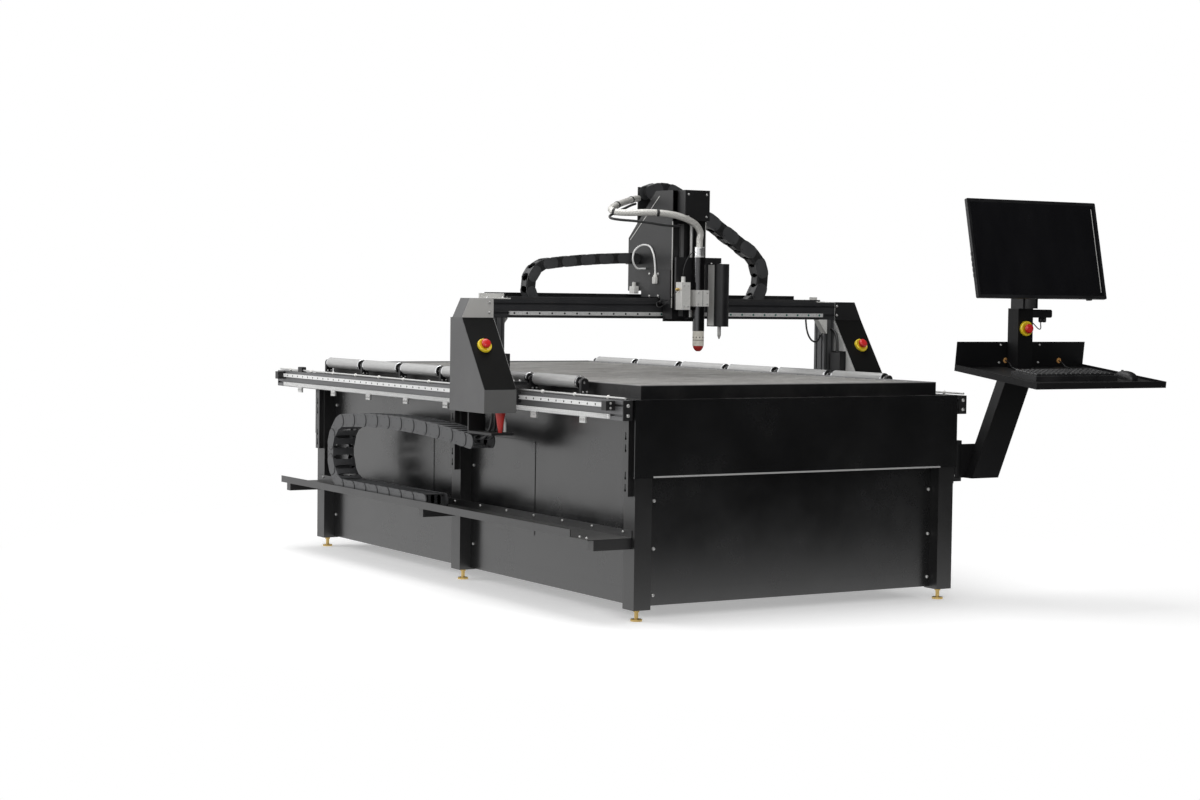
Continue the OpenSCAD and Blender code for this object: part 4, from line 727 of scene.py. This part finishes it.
KEYBOARD_LEAD = [[-40, 5, 9], [-40, 20, 8], [-46, 44, 4], [-66, 84, 3], [-96, 128, 3], [-104, 168, 5],
                 [-92, 200, 12], [-84, 224, 22], [-84, 246, 27]]
MOUSE_LEAD = [[262, -56, 10], [262, -42, 8], [256, -16, 4], [232, 30, 3], [204, 84, 3], [196, 140, 3],
              [206, 190, 6], [212, 224, 18], [212, 246, 25]]
SCREEN_LEAD = [[1094, -1560, 1150], [1097, -1564, 1146], [1104, -1568, 1138], [1116, -1568, 1128],
               [1132, -1562, 1122], [1148, -1552, 1122], [1162, -1540, 1128], [1170, -1530, 1138],
               [1172, -1527, 1152], [1170, -1526, 1172], [1160, -1526, 1184], [1140, -1526, 1187],
               [1118, -1526, 1187], [1104, -1526, 1187]]
wire("keyboard_lead", on_tray(KEYBOARD_LEAD), 5, "console", stiffness="limp")
wire("mouse_lead", on_tray(MOUSE_LEAD), 4.5, "console", stiffness="limp")
wire("screen_lead", SCREEN_LEAD, 4.5, "console", stiffness="limp", lay="hanging")

wire("carrier_cable_a", [[-925, -462, 646], [-925, -478, 645], [-924, -502, 647], [-921, -526, 655],
                         [-917, -546, 670], [-914, -560, 694], [-912, -568, 722], [-911, -572, 746],
                         [-911, -574, 768]], 12, "gantry", lay="hanging")
wire("carrier_cable_b", [[-888, -462, 644], [-888, -478, 643], [-888, -500, 645], [-887, -520, 653],
                         [-886, -536, 668], [-885, -546, 690], [-886, -552, 716], [-888, -556, 742],
                         [-890, -560, 768]], 10, "gantry", lay="hanging")
wire("upright_cable", [[742, -461, 1141], [742, -463, 1126], [741, -470, 1100], [746, -477, 1072],
                       [760, -482, 1050], [782, -482, 1042], [802, -476, 1052], [818, -468, 1072]], 8,
     "gantry", lay="hanging")
wire("motor_conduit", [[852, -552, 996], [852, -552, 1010], [852, -551.5, 1030], [853, -548, 1052],
                       [854, -540, 1072], [855, -528, 1087], [856, -514, 1096], [856, -499, 1100]], 14,
     "gantry", ribs=(7, 1.1), stiffness="stiff", lay="hanging")
cable("housing_conduit", [[-868, -600, 676], [-868, -600, 690], [-868, -599, 712], [-870, -594, 734],
                          [-876, -584, 752], [-886, -570, 764], [-900, -556, 768]], 13, alloy_block,
      "slot_bar", "gantry", ribs=(6, 1.0), stiffness="stiff", lay="hanging")


# Cable carriers: links along straight runs and bends

def carrier_line(segments, count, pitch):
    """Places and headings of link middles, s = (i + 1/2) pitch, along runs (length, 0) and bends
    (radius, angle)."""
    s = (np.arange(count) + 0.5)*pitch
    spot, heading = np.zeros((count, 2)), np.zeros(count)
    foot, way, done = np.zeros(2), 0.0, 0.0
    for size, angle in segments:
        span = size if angle == 0 else size*angle
        here = (s >= done) & (s < done + span)
        q = s[here] - done
        if angle == 0:
            spot[here] = foot + q[:, None]*[math.cos(way), math.sin(way)]
            heading[here] = way
            foot = foot + size*np.array([math.cos(way), math.sin(way)])
        else:
            middle = foot + size*np.array([-math.sin(way), math.cos(way)])
            a = way + q/size
            spot[here] = middle + size*np.stack([np.sin(a), -np.cos(a)], 1)
            heading[here] = a
            way += angle
            foot = middle + size*np.array([math.sin(way), -math.cos(way)])
        done += span
    return spot, heading


LINK_WALL, LINK_INSET = 7.0, 2.4
FLAT = (1, 0, 0), (0, 1, 0)


def link_shapes(pitch, h, w, inset, slit):
    """One link: two side plates with round ends, drawn in by inset, bars with snap tabs, pivot dots, and
    slits or seams."""
    tall = 0.9*h if slit and inset else h
    plate = rounded(pitch + 0.56*h, tall, 0.44*tall, 5)
    sides, bars, studs = [], [], []
    for side in SIDES:
        z0 = -w/2 + inset if side < 0 else w/2 - LINK_WALL
        sides.append(slab(plate, (0, 0, z0), *FLAT, LINK_WALL - inset))
        face = side*(w/2 - inset)
        for x, y in ((-0.5*pitch, -0.3*h), (0.5*pitch, -0.3*h), (0, 0.34*h)):
            studs.append(turned([(0.045*h, 0), (0.04*h, 0.5)], (x, y, face), (0, 0, side), 8))
        if not inset:
            rim = rounded(pitch + 0.56*h + 8, 0.97*h, 0.4*h, 5)
            studs.append(slab(rim, (0, 0, face - 2.6 if side > 0 else face + 1.0), *FLAT, 1.6))
        if slit and inset:
            cut = rounded(0.24*pitch, 0.6*h, 0.1*pitch, 3)
            studs.append(slab(cut, (0, 0, face - 0.1 if side > 0 else face - 0.5), *FLAT, 0.6))
    for y in (-h/2 + 1, h/2 - 6):
        reach = w/2 - LINK_WALL
        bars.append(brick((-0.24*pitch, y, -reach - 1), (0.24*pitch, y + 5, reach + 1)))
        for side in SIDES:
            z = side*(reach - 5)
            bars.append(brick((-0.32*pitch, y - 0.8, z - 4), (0.32*pitch, y + 5.8, z + 4)))
    return sides, bars, studs


def joined(shapes):
    """Several shapes as one."""
    points, faces, base = [], [], 0
    for p, fs in shapes:
        faces += [f + base for f in fs]
        points.append(p)
        base += len(p)
    return np.concatenate(points), faces


def carrier(name, node, pitch, h, w, segments, foot, ahead, slit=True):
    """A carrier in three pieces: the laid run, the bend and the drawn run, each baked where it lies."""
    count = int(sum(size if angle == 0 else size*angle for size, angle in segments)/pitch)
    spot, heading = carrier_line(segments, count, pitch)
    foot, ahead, rise = np.asarray(foot, float), np.asarray(ahead, float), np.array([0, 0, 1.0])
    feet = foot + spot[:, :1]*ahead + spot[:, 1:]*rise
    along = np.cos(heading)[:, None]*ahead + np.sin(heading)[:, None]*rise
    outer = np.sin(heading)[:, None]*ahead - np.cos(heading)[:, None]*rise
    outer_link, inner_link = ([joined(part) for part in link_shapes(pitch, h, w, inset, slit)]
                              for inset in (0.0, LINK_INSET))
    inner_look = chain_dark if slit else chain_grey
    odd = np.arange(count) % 2 == 1
    s = (np.arange(count) + 0.5)*pitch
    laid = segments[0][0]
    turn = laid + segments[1][0]*segments[1][1]
    for part, here in (("laid", s < laid), ("bend", (s >= laid) & (s < turn)), ("drawn", s >= turn)):
        groups = []
        for link, which, look in ((outer_link, here & ~odd, chain_grey),
                                  (inner_link, here & odd, inner_look)):
            sides, bars, studs = (copies(form, feet[which], along[which], outer[which]) for form in link)
            groups += [(look, [sides, bars]), (chain_black, [studs])]
        obj = piece(f"{name}_{part}", groups, None)
        if part == "laid":
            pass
        elif part == "bend":
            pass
        else:
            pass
        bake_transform(obj)
        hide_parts(node)


carrier("gantry_carrier", "gantry_chain", 60, 60, 110,
        [(816, 0), (150, math.radians(176)), (7168, math.radians(9.97))],
        (-905, -59, 352), (0, 1, 0), slit=False)
carrier("beam_carrier", "beam_chain", 46.2, 46, 58,
        [(552, 0), (98, math.radians(173)), (4277, math.radians(5.98))],
        (40, -322, 1175), (-1, 0, 0))
carrier("lead_carrier", "lead_chain", 57, 60, 58,
        [(332, 0), (140, math.radians(148.5)), (456, 0), (150, math.radians(62))],
        (110, -322, 1182), (1, 0, 0))


# Table: fasteners, doors, rail trim and roller ends

GUIDE_FRONT, GUIDE_LENGTH = -1367, 3083


def table_fasteners():
    """Button heads on panels, trough, rail ends, rack clamps and roller brackets, one mesh."""
    made = []
    clamp = GUIDE_FRONT + (np.arange(8) + 0.5)*GUIDE_LENGTH/8
    bracket = 1372 - ROLLER_STEP*np.arange(7) - 8
    for side, x in ((-1.0, -657), (1.0, 688)):
        for end, y in ((-1, RAIL_FRONT - 5), (1, RAIL_REAR + 5)):
            made.append(bolts(row(x, end*END_PANEL, [93, 272, 456]), (0, end, 0), 15, 6))
            made.append(bolts(row(side*RAIL_MID, y, [787, 825]), (0, end, 0), 15, 6))
        panel = row(side*SIDE_PANEL, [-1350, -66, 66, 1350], [160, 330, 500, 690])
        rack = row(side*843, np.concatenate([clamp - 11, clamp + 11]), 759)
        made += [bolts(panel, (side, 0, 0), 13, 6), bolts(rack, (side, 0, 0), 10, 4)]
        made.append(bolts(row(side*ROLLER_MID + np.array([-9, 9]), bracket, 858), (0, -1, 0), 9, 4))
        made.append(bolts(row(side*855, -1401, [814, 832]), (0, -1, 0), 10, 5))
    made.append(bolts(row(-778, np.linspace(-1380, 1380, 13), 341), (-1, 0, 0), 11, 5))
    made.append(bolts(row(-940, [-1380, -1330], 322), (0, 0, 1), 11, 5))
    piece("table_fasteners", [(zinc, made)], "table")


def panel_skirts():
    """Lower edges of the panels: the same sheets carried down to 53 mm above the floor."""
    low, high = 53, 115.2
    made = [brick((-699, y, low), (699, y + SHEET, high)) for y in (-END_PANEL, END_PANEL - SHEET)]
    made += [brick((x, y0, low), (x + SHEET, y1, high)) for x in (-SIDE_PANEL, SIDE_PANEL - SHEET)
             for y0, y1 in ((-1377, -40), (40, 1377))]
    piece("panel_skirts", [(panel_coat, made)], "table")


def apron_lip_highlights():
    """Painted highlights along the lower lips of the two aprons: thin light strips on their corners, for
    the lit edges.
    """
    # painted highlight: light steel strips where the lips' edges catch the light
    made = [brick((-699, y, 549.4), (699, y + 1.8, 556)) for y in (-1466.6, 1464.8)]
    piece("apron_lip_highlights", [(roller_steel, made)], "table")


def guide_plugs():
    """Caps in the mounting holes of the two long guides, every 60 mm."""
    y = np.arange(GUIDE_FRONT + 30, GUIDE_FRONT + GUIDE_LENGTH, 60.0)
    made = [plugs(row(side*847, y, 823), (side, 0, 0)) for side in SIDES]
    piece("guide_plugs", [(chain_black, made)], "table")


def rod_heads():
    """Ball heads on the rods' stand-offs, arcs turned about the vertical, and a clamp on each rod."""
    a = np.linspace(-1.3, 1.3, 7)
    ball = turned(np.stack([8*np.cos(a), 8*np.sin(a)], 1), sides=12)
    y = RAIL_FRONT + (np.arange(13) + 0.5)*(RAIL_REAR - RAIL_FRONT)/13
    heads = [copies(ball, row(side*823, y, 852)) for side in SIDES]
    block = slab(rounded(46, 34, 5), (0, 0, 0), (0, 1, 0), (0, 0, 1), 24)
    blocks = [copies(block, row([-834, 810], 1545, 852))]
    piece("rod_heads", [(fitting_white, heads), (bracket_black, blocks)], "table", bevel=0.8)


def panel_doors():
    """Plain service doors on the long side panels: thin plates with round corners."""
    plate = rounded(360, 390, 8)
    made = [slab(plate, (side*SIDE_PANEL, y, 441), (0, side, 0), (0, 0, 1), 2.5)
            for side in SIDES for y in (-421, 492)]
    piece("panel_doors", [(panel_coat, made)], "table", bevel=0.8)


def roller_ends(side, body):
    """Each roller end: chrome lip, dark hub disc and a nut ring about the axle."""
    lip = turned([(19, -1), (19.5, 2.2), (24, 2.6), (25.2, 1.4), (25.2, -6)][::-1], sides=28)
    hub = turned([(19.2, -0.5), (19.2, 0.8), (12, 1.4)], sides=20)
    nut = turned([(11.5, 0), (11.5, 5), (10.6, 6)], sides=6)
    rear = 1346 - ROLLER_STEP*np.arange(6.0)
    groups = []
    for look, shape in ((chrome, lip), (case_black, hub), (zinc, nut)):
        ends = [copies(shape, row(side*ROLLER_MID, y, ROLLER_HEIGHT), (way, 0, 0), (0, 0, 1))
                for y, way in ((rear - ROLLER_LENGTH, 1), (rear, -1))]
        groups.append((look, ends))
    piece(f"{body}_ends", groups, body)


table_fasteners()
guide_plugs()
rod_heads()
panel_doors()
apron_lip_highlights()
panel_skirts()
roller_ends(-1, "rollers_left")
roller_ends(1, "rollers_right")


# Gantry: stops, plugs, brackets and bolts

SLOPE_RUN, SLOPE_RISE = 201.0, 289.0        # the housings' slopes, from foot to top
SLOPE_OUT, SLOPE_UP = unit([0.0, -SLOPE_RISE, SLOPE_RUN]), unit([0.0, SLOPE_RUN, SLOPE_RISE])


def stop_frames():
    """Feet and outward ways of the three stops: two on the housings' slopes, one on the mast."""
    slope = [np.array([side*958.5, -502 - 0.4*SLOPE_RUN, 1142 - 0.4*SLOPE_RISE]) for side in SIDES]
    mast = on_tray([-45, 166, 0]) + [0, 0, 170]
    return [(slope[0], SLOPE_OUT), (slope[1], SLOPE_OUT), (mast, np.array([0, -1.0, 0]))]


STOP_RING = [(31, 0), (31, 8), (30, 11), (27.5, 12.4), (24.5, 11.6), (22, 9), (13, 8.4), (12, 7),
             (12, 1.5)]
STOP_KNOB = [(11, 8.4), (11, 16.6), (17, 17.6), (19.6, 18.6), (20, 21), (19.8, 24.5), (18.6, 28),
             (16, 30.6), (12, 32), (6, 32.6)]


def stops():
    """Yellow dished rings and red mushroom buttons, turned about each stop's way out."""
    left, right, mast = stop_frames()
    for name, node, body, places in (("stop_rings", "estop_bases", "gantry", (left, right)),
                                     ("console_stop_ring", "console_estop", "console", (mast,))):
        shapes = [turned(STOP_RING, *place, sides=36) for place in places]
        ring = piece(name, [(stop_yellow, shapes)], body, sharp=50)
        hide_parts(node)
    for place, name, node in ((left, "stop_button_left", "button_left"),
                              (right, "stop_button_right", "button_right"),
                              (mast, "console_stop_button", "console_button")):
        shapes = [turned(STOP_KNOB, *place, sides=36)]
        knob = piece(name, [(stop_red, shapes)], node, sharp=60)
        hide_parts(node)


def gantry_trim():
    """Plugs of the beam guides, cap bolts, beam-end brackets, gussets, base bolts and cable glands."""
    x = np.arange(-780, 790, 60.0)
    dots = [plugs(row(x[x < -60], *BEAM_GUIDE), (0, -1, 0)), plugs(row(x, -480, 1230), (0, 0, 1))]
    teal = [plugs(row(x[x >= -60], *BEAM_GUIDE), (0, -1, 0), 10)]
    heads = [bolts(row([-893, 883], -502, [1162, 1203]), (0, -1, 0)),
             bolts(row([-852, -824, 824, 852], -640, 886), (0, 0, 1)),
             bolts(row([-884, -812, 799], -468, 1223), (0, 0, 1))]
    silver = []
    for x0, x1 in ((-907, -790), (779, 819)):
        silver += [brick((x0, -497, 1218), (x1, -440, 1223)), brick((x0, -440, 1218), (x1, -434, 1242))]
    gusset = [(0, 0), (46, 0), (46, 5), (5, 62), (0, 62)]
    silver += [slab(gusset, (819, -480, 1142), (-1, 0, 0), (0, 0, -1), 38),
               slab(gusset[::-1], (-819, -442, 1142), (1, 0, 0), (0, 0, -1), 38)]
    collar = [(9, -8), (13, -8), (13, 7), (11, 8), (8, 8)]
    glands = [turned(collar, foot, sides=20) for foot in ((-917, -547, 671), (-886, -538, 671))]
    piece("arm_glands", [(case_black, glands)], "gantry")
    piece("gantry_plugs", [(chain_black, dots), (plug_teal, teal)], "gantry")
    piece("gantry_bolts", [(zinc, heads)], "gantry")
    piece("beam_brackets", [(alloy_block, silver)], "gantry", bevel=0.8)


def slope_plates():
    """Black cover plates on the housings' slopes: round-cornered rectangles a millimetre thick."""
    plate = rounded(143, 348, 2)
    made = [slab(plate, (side*946.5, -602.5, 997.5), (1, 0, 0), SLOPE_UP, 1.0) for side in SIDES]
    piece("slope_plates", [(slope_black, made)], "gantry")


def housing_liners():
    """Light grey plates on the inner sides of the housings: the slope's outline, cut out round the motor.
    """
    outline = [(501, 1002), (592, 1002), (592, 890), (673, 890), (501, 1138)]
    mirrored = [(-u, v) for u, v in outline[::-1]]
    made = [slab(drawn, (side*872.6, 0, 0), (0, -side, 0), (0, 0, 1), 2.5)
            for drawn, side in ((outline, 1), (mirrored, -1))]
    piece("housing_liners", [(liner_grey, made)], "gantry")


stops()
gantry_trim()
slope_plates()
housing_liners()


# Carriage and torch

SIDEWAYS = (0, -1, 0), (0, 0, 1)            # a drawing on the head's left plate: to the front, and up


def head_trim():
    """Bolts, fittings, valve and stepped bracket on the head's left plate, and painted highlights on its
    plates' front edges.
    """
    places = [(-427, 1333), (-496, 1333), (-429, 1238), (-498, 1239)]
    heads = [bolts([(x, y, z) for y, z in places], (side, 0, 0), 13, 6)
             for x, side in ((HEAD_LEFT, -1), (HEAD_RIGHT, 1))]
    heads.append(bolts(row([-30, 62], -664, [1576, 1670]), (0, -1, 0), 10, 4))
    valve = [(6, 0), (6, 4), (9, 6), (9.6, 12), (8, 18), (5.6, 20), (5.6, 26)]
    white = [turned(valve, (-74, -479, 1310), sides=18),
             slab(rounded(22, 30, 4), (HEAD_LEFT, -479, 1306), *SIDEWAYS, 14),
             slab(rounded(42, 32, 4), (HEAD_LEFT, -318, 1264), *SIDEWAYS, 22),
             turned([(8, 0), (8, 16), (6, 18)], (-80, -318, 1280), sides=14)]
    gland = turned([(7, 0), (7, 8), (5, 10), (5, 18)], (HEAD_LEFT - 0.5, -522, 1212), (-1, 0, 0), 14)
    outline = [(360, 1234), (514, 1234), (514, 1204), (598, 1204), (598, 1352), (432, 1352), (432, 1262),
               (360, 1262)]
    plate = slab(outline, (HEAD_LEFT, 0, 0), *SIDEWAYS, 1.0)
    step = slab(rounded(76, 126, 3), (HEAD_LEFT - 0.5, -559, 1286), *SIDEWAYS, 5)
    # painted highlights: thin light strips on the front edges of the head's two plates, for their lit
    # edges
    edges = [brick((x, -603, 1190), (x + 3.2, -600, 1556)) for x in (-69.6, 98.4)]
    way, square = unit([0.0, -234.0, 185.0]), unit([0.0, 185.0, 234.0])
    mid = np.array([HEAD_LEFT, -379.0, 1579.0])
    slot = slab(rounded(296, 8, 3.5), mid, way, square, 0.7)
    rim = slab(rounded(296, 3, 1), mid - 6*square, way, square, 0.9)
    piece("head_slot", [(chain_black, [slot, gland]), (alloy_block, [rim])], "carriage")
    piece("head_bracket", [(bracket_black, [plate, step])], "carriage")
    piece("head_bolts", [(zinc, heads)], "carriage")
    piece("air_fittings", [(fitting_white, white)], "carriage", bevel=0.8)
    piece("head_edge_highlights", [(alloy_block, edges)], "carriage")


def lead_ties():
    """Dark bands round the braided lead, short rings on its own line."""
    t = unit(np.gradient(lead_line, axis=0))
    band = [(14.2, -6), (15.6, -5), (15.6, 5), (14.2, 6)]
    made = [turned(band, lead_line[k], t[k], 20) for k in (44, 62, 78, 92)]
    piece("lead_ties", [(chain_black, made)], "carriage")


def torch_trim():
    """Clamp screws and slit, cap ports, knurled collar, block fittings, the marker's band and caps."""
    screws = [bolts(row([-7, 39], -714, [1208, 1255]), (0, -1, 0), 9, 4),
              bolts(row([-64, -44], -692, [1196, 1284]), (0, -1, 0), 8, 3.5)]
    slit = [brick((15, -714.4, 1199), (17, -713.6, 1264))]
    a = 2*np.pi*np.arange(10)/10
    out = np.stack([np.cos(a), np.sin(a), 0*a], 1)
    points, faces = HOLE_PLUG
    ports = copies((points*[3, 3, 0.5], faces), np.array([TORCH_X, TORCH_Y, 1066]) + 23.8*out,
                   np.cross([0, 0, 1.0], out), (0, 0, 1))
    h = np.linspace(1410, 1444, 24)
    r = 21.7 + 0.5*np.cos(np.pi*np.arange(24))
    knurl = turned(np.stack([r, h], 1), (TORCH_X, TORCH_Y, 0), sides=32)
    fitting = [turned([(9, 0), (9, 10), (7.4, 12), (7.4, 22)], (-54, -668, 1300), sides=6),
               turned([(6, 0), (6, 14), (4.6, 16)], (-75, -668, 1268), (-1, 0, 0), 12)]
    piece("torch_screws", [(zinc, screws), (chain_black, slit + [ports])], "tool")
    piece("collar_knurl", [(chrome, [knurl])], "tool", sharp=80)
    piece("block_fittings", [(foot_brass, fitting)], "tool")
    band = [brick((84.4, -696, 1116), (85.2, -650, 1374))]
    caps = [bolts(row([97, 143], -656, 1378), (0, 0, 1), 9, 4)]
    piece("marker_trim", [(alloy_block, band), (zinc, caps)], "tool")


head_trim()
lead_ties()
torch_trim()


# Console

PIVOT, LEAN = np.array([1061.0, -1573.06, 1300.0]), math.radians(12)
SCREEN_AXES = np.array([[1, 0, 0], [0, math.cos(LEAN), -math.sin(LEAN)],
                        [0, math.sin(LEAN), math.cos(LEAN)]])


def on_pivot(shape, aside=0):
    """A shape drawn about the screen's middle, x across, y into it, z up, set on the leaning monitor."""
    points, faces = shape
    return PIVOT + (points + [aside, 0, 138]) @ SCREEN_AXES, faces


def on_screen(shape):
    """The same for the panel, which sits a little to the right of its pivot."""
    return on_pivot(shape, 4)


def monitor_case():
    """The monitor: rounded rectangles carried back and drawn in behind the rim, on a neck with a pin."""
    rings = [(-77.0, 1.2), (-76.0, 0.0), (-63.0, 0.0), (-53.0, 34.0)]
    outlines = [(rounded(412 - 2*inset, 700 - 2*inset, 6), y) for y, inset in rings]
    panel = closed_grid(np.stack([np.stack([o[:, 1], np.full(len(o), y), o[:, 0]], 1)
                                  for o, y in outlines]))
    neck = brick((-20, -54, -158), (20, 6, -128))
    pin = turned([(6, -40), (6, 40)], (0, 0, -138), (1, 0, 0), 16)
    hub = turned([(12.6, -28), (13, -27.4), (13, 27.4), (12.6, 28)], (0, 0, -138), (1, 0, 0), 24)
    neck, pin, hub = (on_pivot(shape) for shape in (neck, pin, hub))
    obj = piece("monitor_case", [(case_black, [on_screen(panel), neck, hub]), (zinc, [pin])], "monitor",
                sharp=30)
    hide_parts("monitor")


def monitor_trim():
    """Screen glass in the bezel, a thin light line, side buttons, and vents on the back."""
    glass = on_screen(brick((-336, -77.5, -192), (336, -76.8, 192)))
    line = on_screen(brick((320, -78.0, -178), (322.5, -77.4, 178)))
    keys = [on_screen(brick((-352.6, -73, -120 + 22*k), (-349.9, -64, -106 + 22*k))) for k in range(5)]
    keys.append(on_screen(brick((244, -74, -211), (268, -64, -205.9))))
    vents = [on_screen(brick((-150, -53.4, 40 + 12*k), (150, -52.4, 44 + 12*k))) for k in range(8)]
    piece("screen", [(screen_glass, [glass])], "monitor")
    piece("monitor_trim", [(alloy_block, [line]), (chain_black, keys + vents)], "monitor")


def key_caps():
    """Key caps with sloped sides on the keyboard's rows: each a low block whose top is drawn in."""
    top = np.array([(-10.5, -8.6), (10.5, -8.6), (10.5, 8.6), (-10.5, 8.6)])
    cap = closed_grid(np.stack([np.concatenate([top*size, np.full((4, 1), z)], 1)
                                for size, z in ((1.14, 0.0), (0.86, 3.2))]))
    x = -40 - 210 + (np.arange(16) + 0.5)*26.25
    y = -70 - 65 + (np.arange(6) + 0.5)*21.667
    spots = on_tray(row(x, y, 26.0))
    piece("key_caps", [(key_black, [copies(cap, spots, *TRAY_AXES[:2])])], "console")


def mouse_form():
    """A palm-shaped mouse: a half ellipsoid with squared sides, its hump nearer the back, and a wheel."""
    u = np.linspace(0.0, 1.0, 14)[:, None]
    a = np.linspace(0, 2*np.pi, 41)[None, :-1]
    c, s = np.cos(a), np.sin(a)
    rim = (np.abs(c)**2.6 + np.abs(s)**2.6)**(-1/2.6)
    r = np.cos(u*np.pi/2)**0.7
    x = 30.5*r*rim*c*(1 - 0.08*s)
    y = 53.5*r*rim*s
    z = 1.2 + 32*np.sin(u*np.pi/2)**0.85*(1 - 0.16*np.clip(y/53.5, -1, 1)**2) + 0*a
    z[0] = 0.2
    points, faces = closed_grid(np.stack([x, y, z], -1)[:-1])
    body = (on_tray(points + [262, -110, 0]), faces)
    wheel = turned([(5, -3.5), (6.5, -2.5), (6.5, 2.5), (5, 3.5)], on_tray([262, -84, 28]), (1, 0, 0), 18)
    obj = piece("mouse_form", [(case_black, [body]), (cable_black, [wheel])], "console",
                sharp=60)
    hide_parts("mouse")


def console_trim():
    """Bolts through the backsplash, the amber grommets, the hub box with its plug, and arm bolts."""
    x = np.array([-118, -35, 19, 96])
    heads = [bolts(on_tray(row(x, 246, [18, 92])), -TRAY_AXES[1], 11, 5),
             bolts(on_tray(row(x, 250, [18, 92])), TRAY_AXES[1], 11, 5),
             bolts(row(809, [-1419, -1381], [510, 630]), (1, 0, 0), 11, 5)]
    eyelet = [(5, 0.2), (6, 3), (10.5, 3.4), (11.5, 1.5), (11.5, 0)][::-1]
    rings = [turned(eyelet, on_tray([x, 246, z]), -TRAY_AXES[1], 20) for x, z in ((-84, 27), (212, 25))]
    hub = slab(rounded(112, 34, 8), (1157.2, -1502, 1186), (1, 0, 0), (0, 0, 1), 50)
    plug = [turned([(6, 0), (9, 3), (9, 18), (6, 22)], (x, -1526, 1171), (0, 0, -1), 14)
            for x in (1172, 1192)]
    piece("console_bolts", [(zinc, heads)], "console")
    piece("grommets", [(gasket_amber, rings)], "console")
    piece("hub_box", [(case_black, [hub]), (chain_black, plug)], "console", bevel=1.5)


monitor_case()
monitor_trim()
key_caps()
mouse_form()
console_trim()


# Floor, light and surroundings

WHITE = (1, 1, 1, 1)


def rays(tree):
    """1 for rays from the camera, and 1 for mirrored or passing rays."""
    path = add(tree, "LightPath").outputs
    shine = sum_of(tree, "MAXIMUM", path["Is Glossy Ray"], path["Is Transmission Ray"])
    return path["Is Camera Ray"], shine


def between(tree, share, a, b):
    """Number a to number b by share."""
    return add(tree, "Mix", {"data_type": "FLOAT"}, i0=share, i2=a, i3=b).outputs[0]


def studio_floor():
    """A wide disc that fades to plain white away from the table, and keeps the soft shadow."""
    rings, around = np.array([15.0, 11.0, 8.0, 6.0, 4.0, 2.5, 1.0, 0.02]), 96
    a = 2*np.pi*np.arange(around)/around
    points = (rings[:, None, None]*np.stack([np.cos(a), np.sin(a), 0*a], -1)[None]).reshape(-1, 3)
    faces = [ring_quads(len(rings), around), (len(rings) - 1)*around + np.arange(around)[None]]
    mesh = bpy.data.meshes.new("studio_floor")
    faces = [face for block in faces for face in block.tolist()]
    mesh.from_pydata((points - [0, 0, 0.0005]).tolist(), [], faces)
    made = bpy.data.materials.new("floor_pale")
    made.use_nodes = True
    tree = made.node_tree
    tree.nodes.clear()
    spot = own_place(tree)
    flat = stretched(tree, spot, (1.0, 0.8, 0.0))
    far = add(tree, "VectorMath", {"operation": "LENGTH"}, i0=flat).outputs["Value"]
    fade = ramped(tree, far, 1.5, 2.9)
    grain = noise(tree, spot, 30.0, 4.0)
    tone = mixed(tree, ramped(tree, grain, 0.3, 0.7), (0.80, 0.80, 0.80), (0.83, 0.83, 0.83))
    ground = add(tree, "BsdfDiffuse", Color=tone).outputs[0]
    camera_ray, shine = rays(tree)
    ahead = ramped(tree, split(tree, spot)["Y"], -3.4, -1.5, 0.03, 1.0)
    white = add(tree, "Emission", Color=WHITE, Strength=between(tree, shine, 1.0, ahead)).outputs[0]
    lift = add(tree, "Emission", Color=WHITE, Strength=times(tree, camera_ray, 0.36)).outputs[0]
    near = add(tree, "AddShader", i0=ground, i1=lift).outputs[0]
    share = sum_of(tree, "MAXIMUM", times(tree, fade, camera_ray), shine)
    end = add(tree, "MixShader", i0=share, i1=near, i2=white).outputs[0]
    tree.links.new(end, add(tree, "OutputMaterial").inputs["Surface"])
    mesh.materials.append(made)
    obj = bpy.data.objects.new("studio_floor", mesh)
    bpy.context.scene.collection.objects.link(obj)


def surroundings():
    """White for the camera; metal sees a white backdrop behind and at the left, a dim room in front."""
    world = bpy.data.worlds.new("studio")
    bpy.context.scene.world = world
    world.use_nodes = True
    tree = world.node_tree
    tree.nodes.clear()
    way = add(tree, "TexCoord").outputs["Generated"]
    bright_side = (-0.86, 0.40, 0.30)
    side = add(tree, "VectorMath", {"operation": "DOT_PRODUCT"}, i0=way, i1=bright_side).outputs["Value"]
    room = ramped(tree, side, -0.15, 0.45, 0.035, 1.0)
    camera_ray, shine = rays(tree)
    power = between(tree, camera_ray, between(tree, shine, 0.42, room), 1.0)
    sky = add(tree, "Background", Color=WHITE, Strength=power).outputs[0]
    tree.links.new(sky, add(tree, "OutputWorld").inputs["Surface"])
    world.cycles.sampling_method = "NONE"


def lamp(name, place, target, size, power):
    """A square soft box that looks from place to target."""
    data = bpy.data.lights.new(name, "AREA")
    data.shape, data.size, data.energy = "SQUARE", size, power
    obj = bpy.data.objects.new(name, data)
    back = unit(np.asarray(place, float) - target)
    right = unit(np.cross([0.0, 0.1, 1.0], back))
    stand(obj, right, np.cross(back, right), back, place)


studio_floor()
surroundings()
TABLE_MIDDLE = (0, 0, 0.8)
lamp("top_box", (-0.6, 0.4, 5.2), TABLE_MIDDLE, 4.0, 170)
lamp("left_box", (-5.0, 2.0, 2.8), TABLE_MIDDLE, 3.0, 90)
lamp("front_fill", (-2.6, -7.0, 3.4), TABLE_MIDDLE, 3.0, 120)
bpy.context.scene.view_settings.view_transform = "Standard"
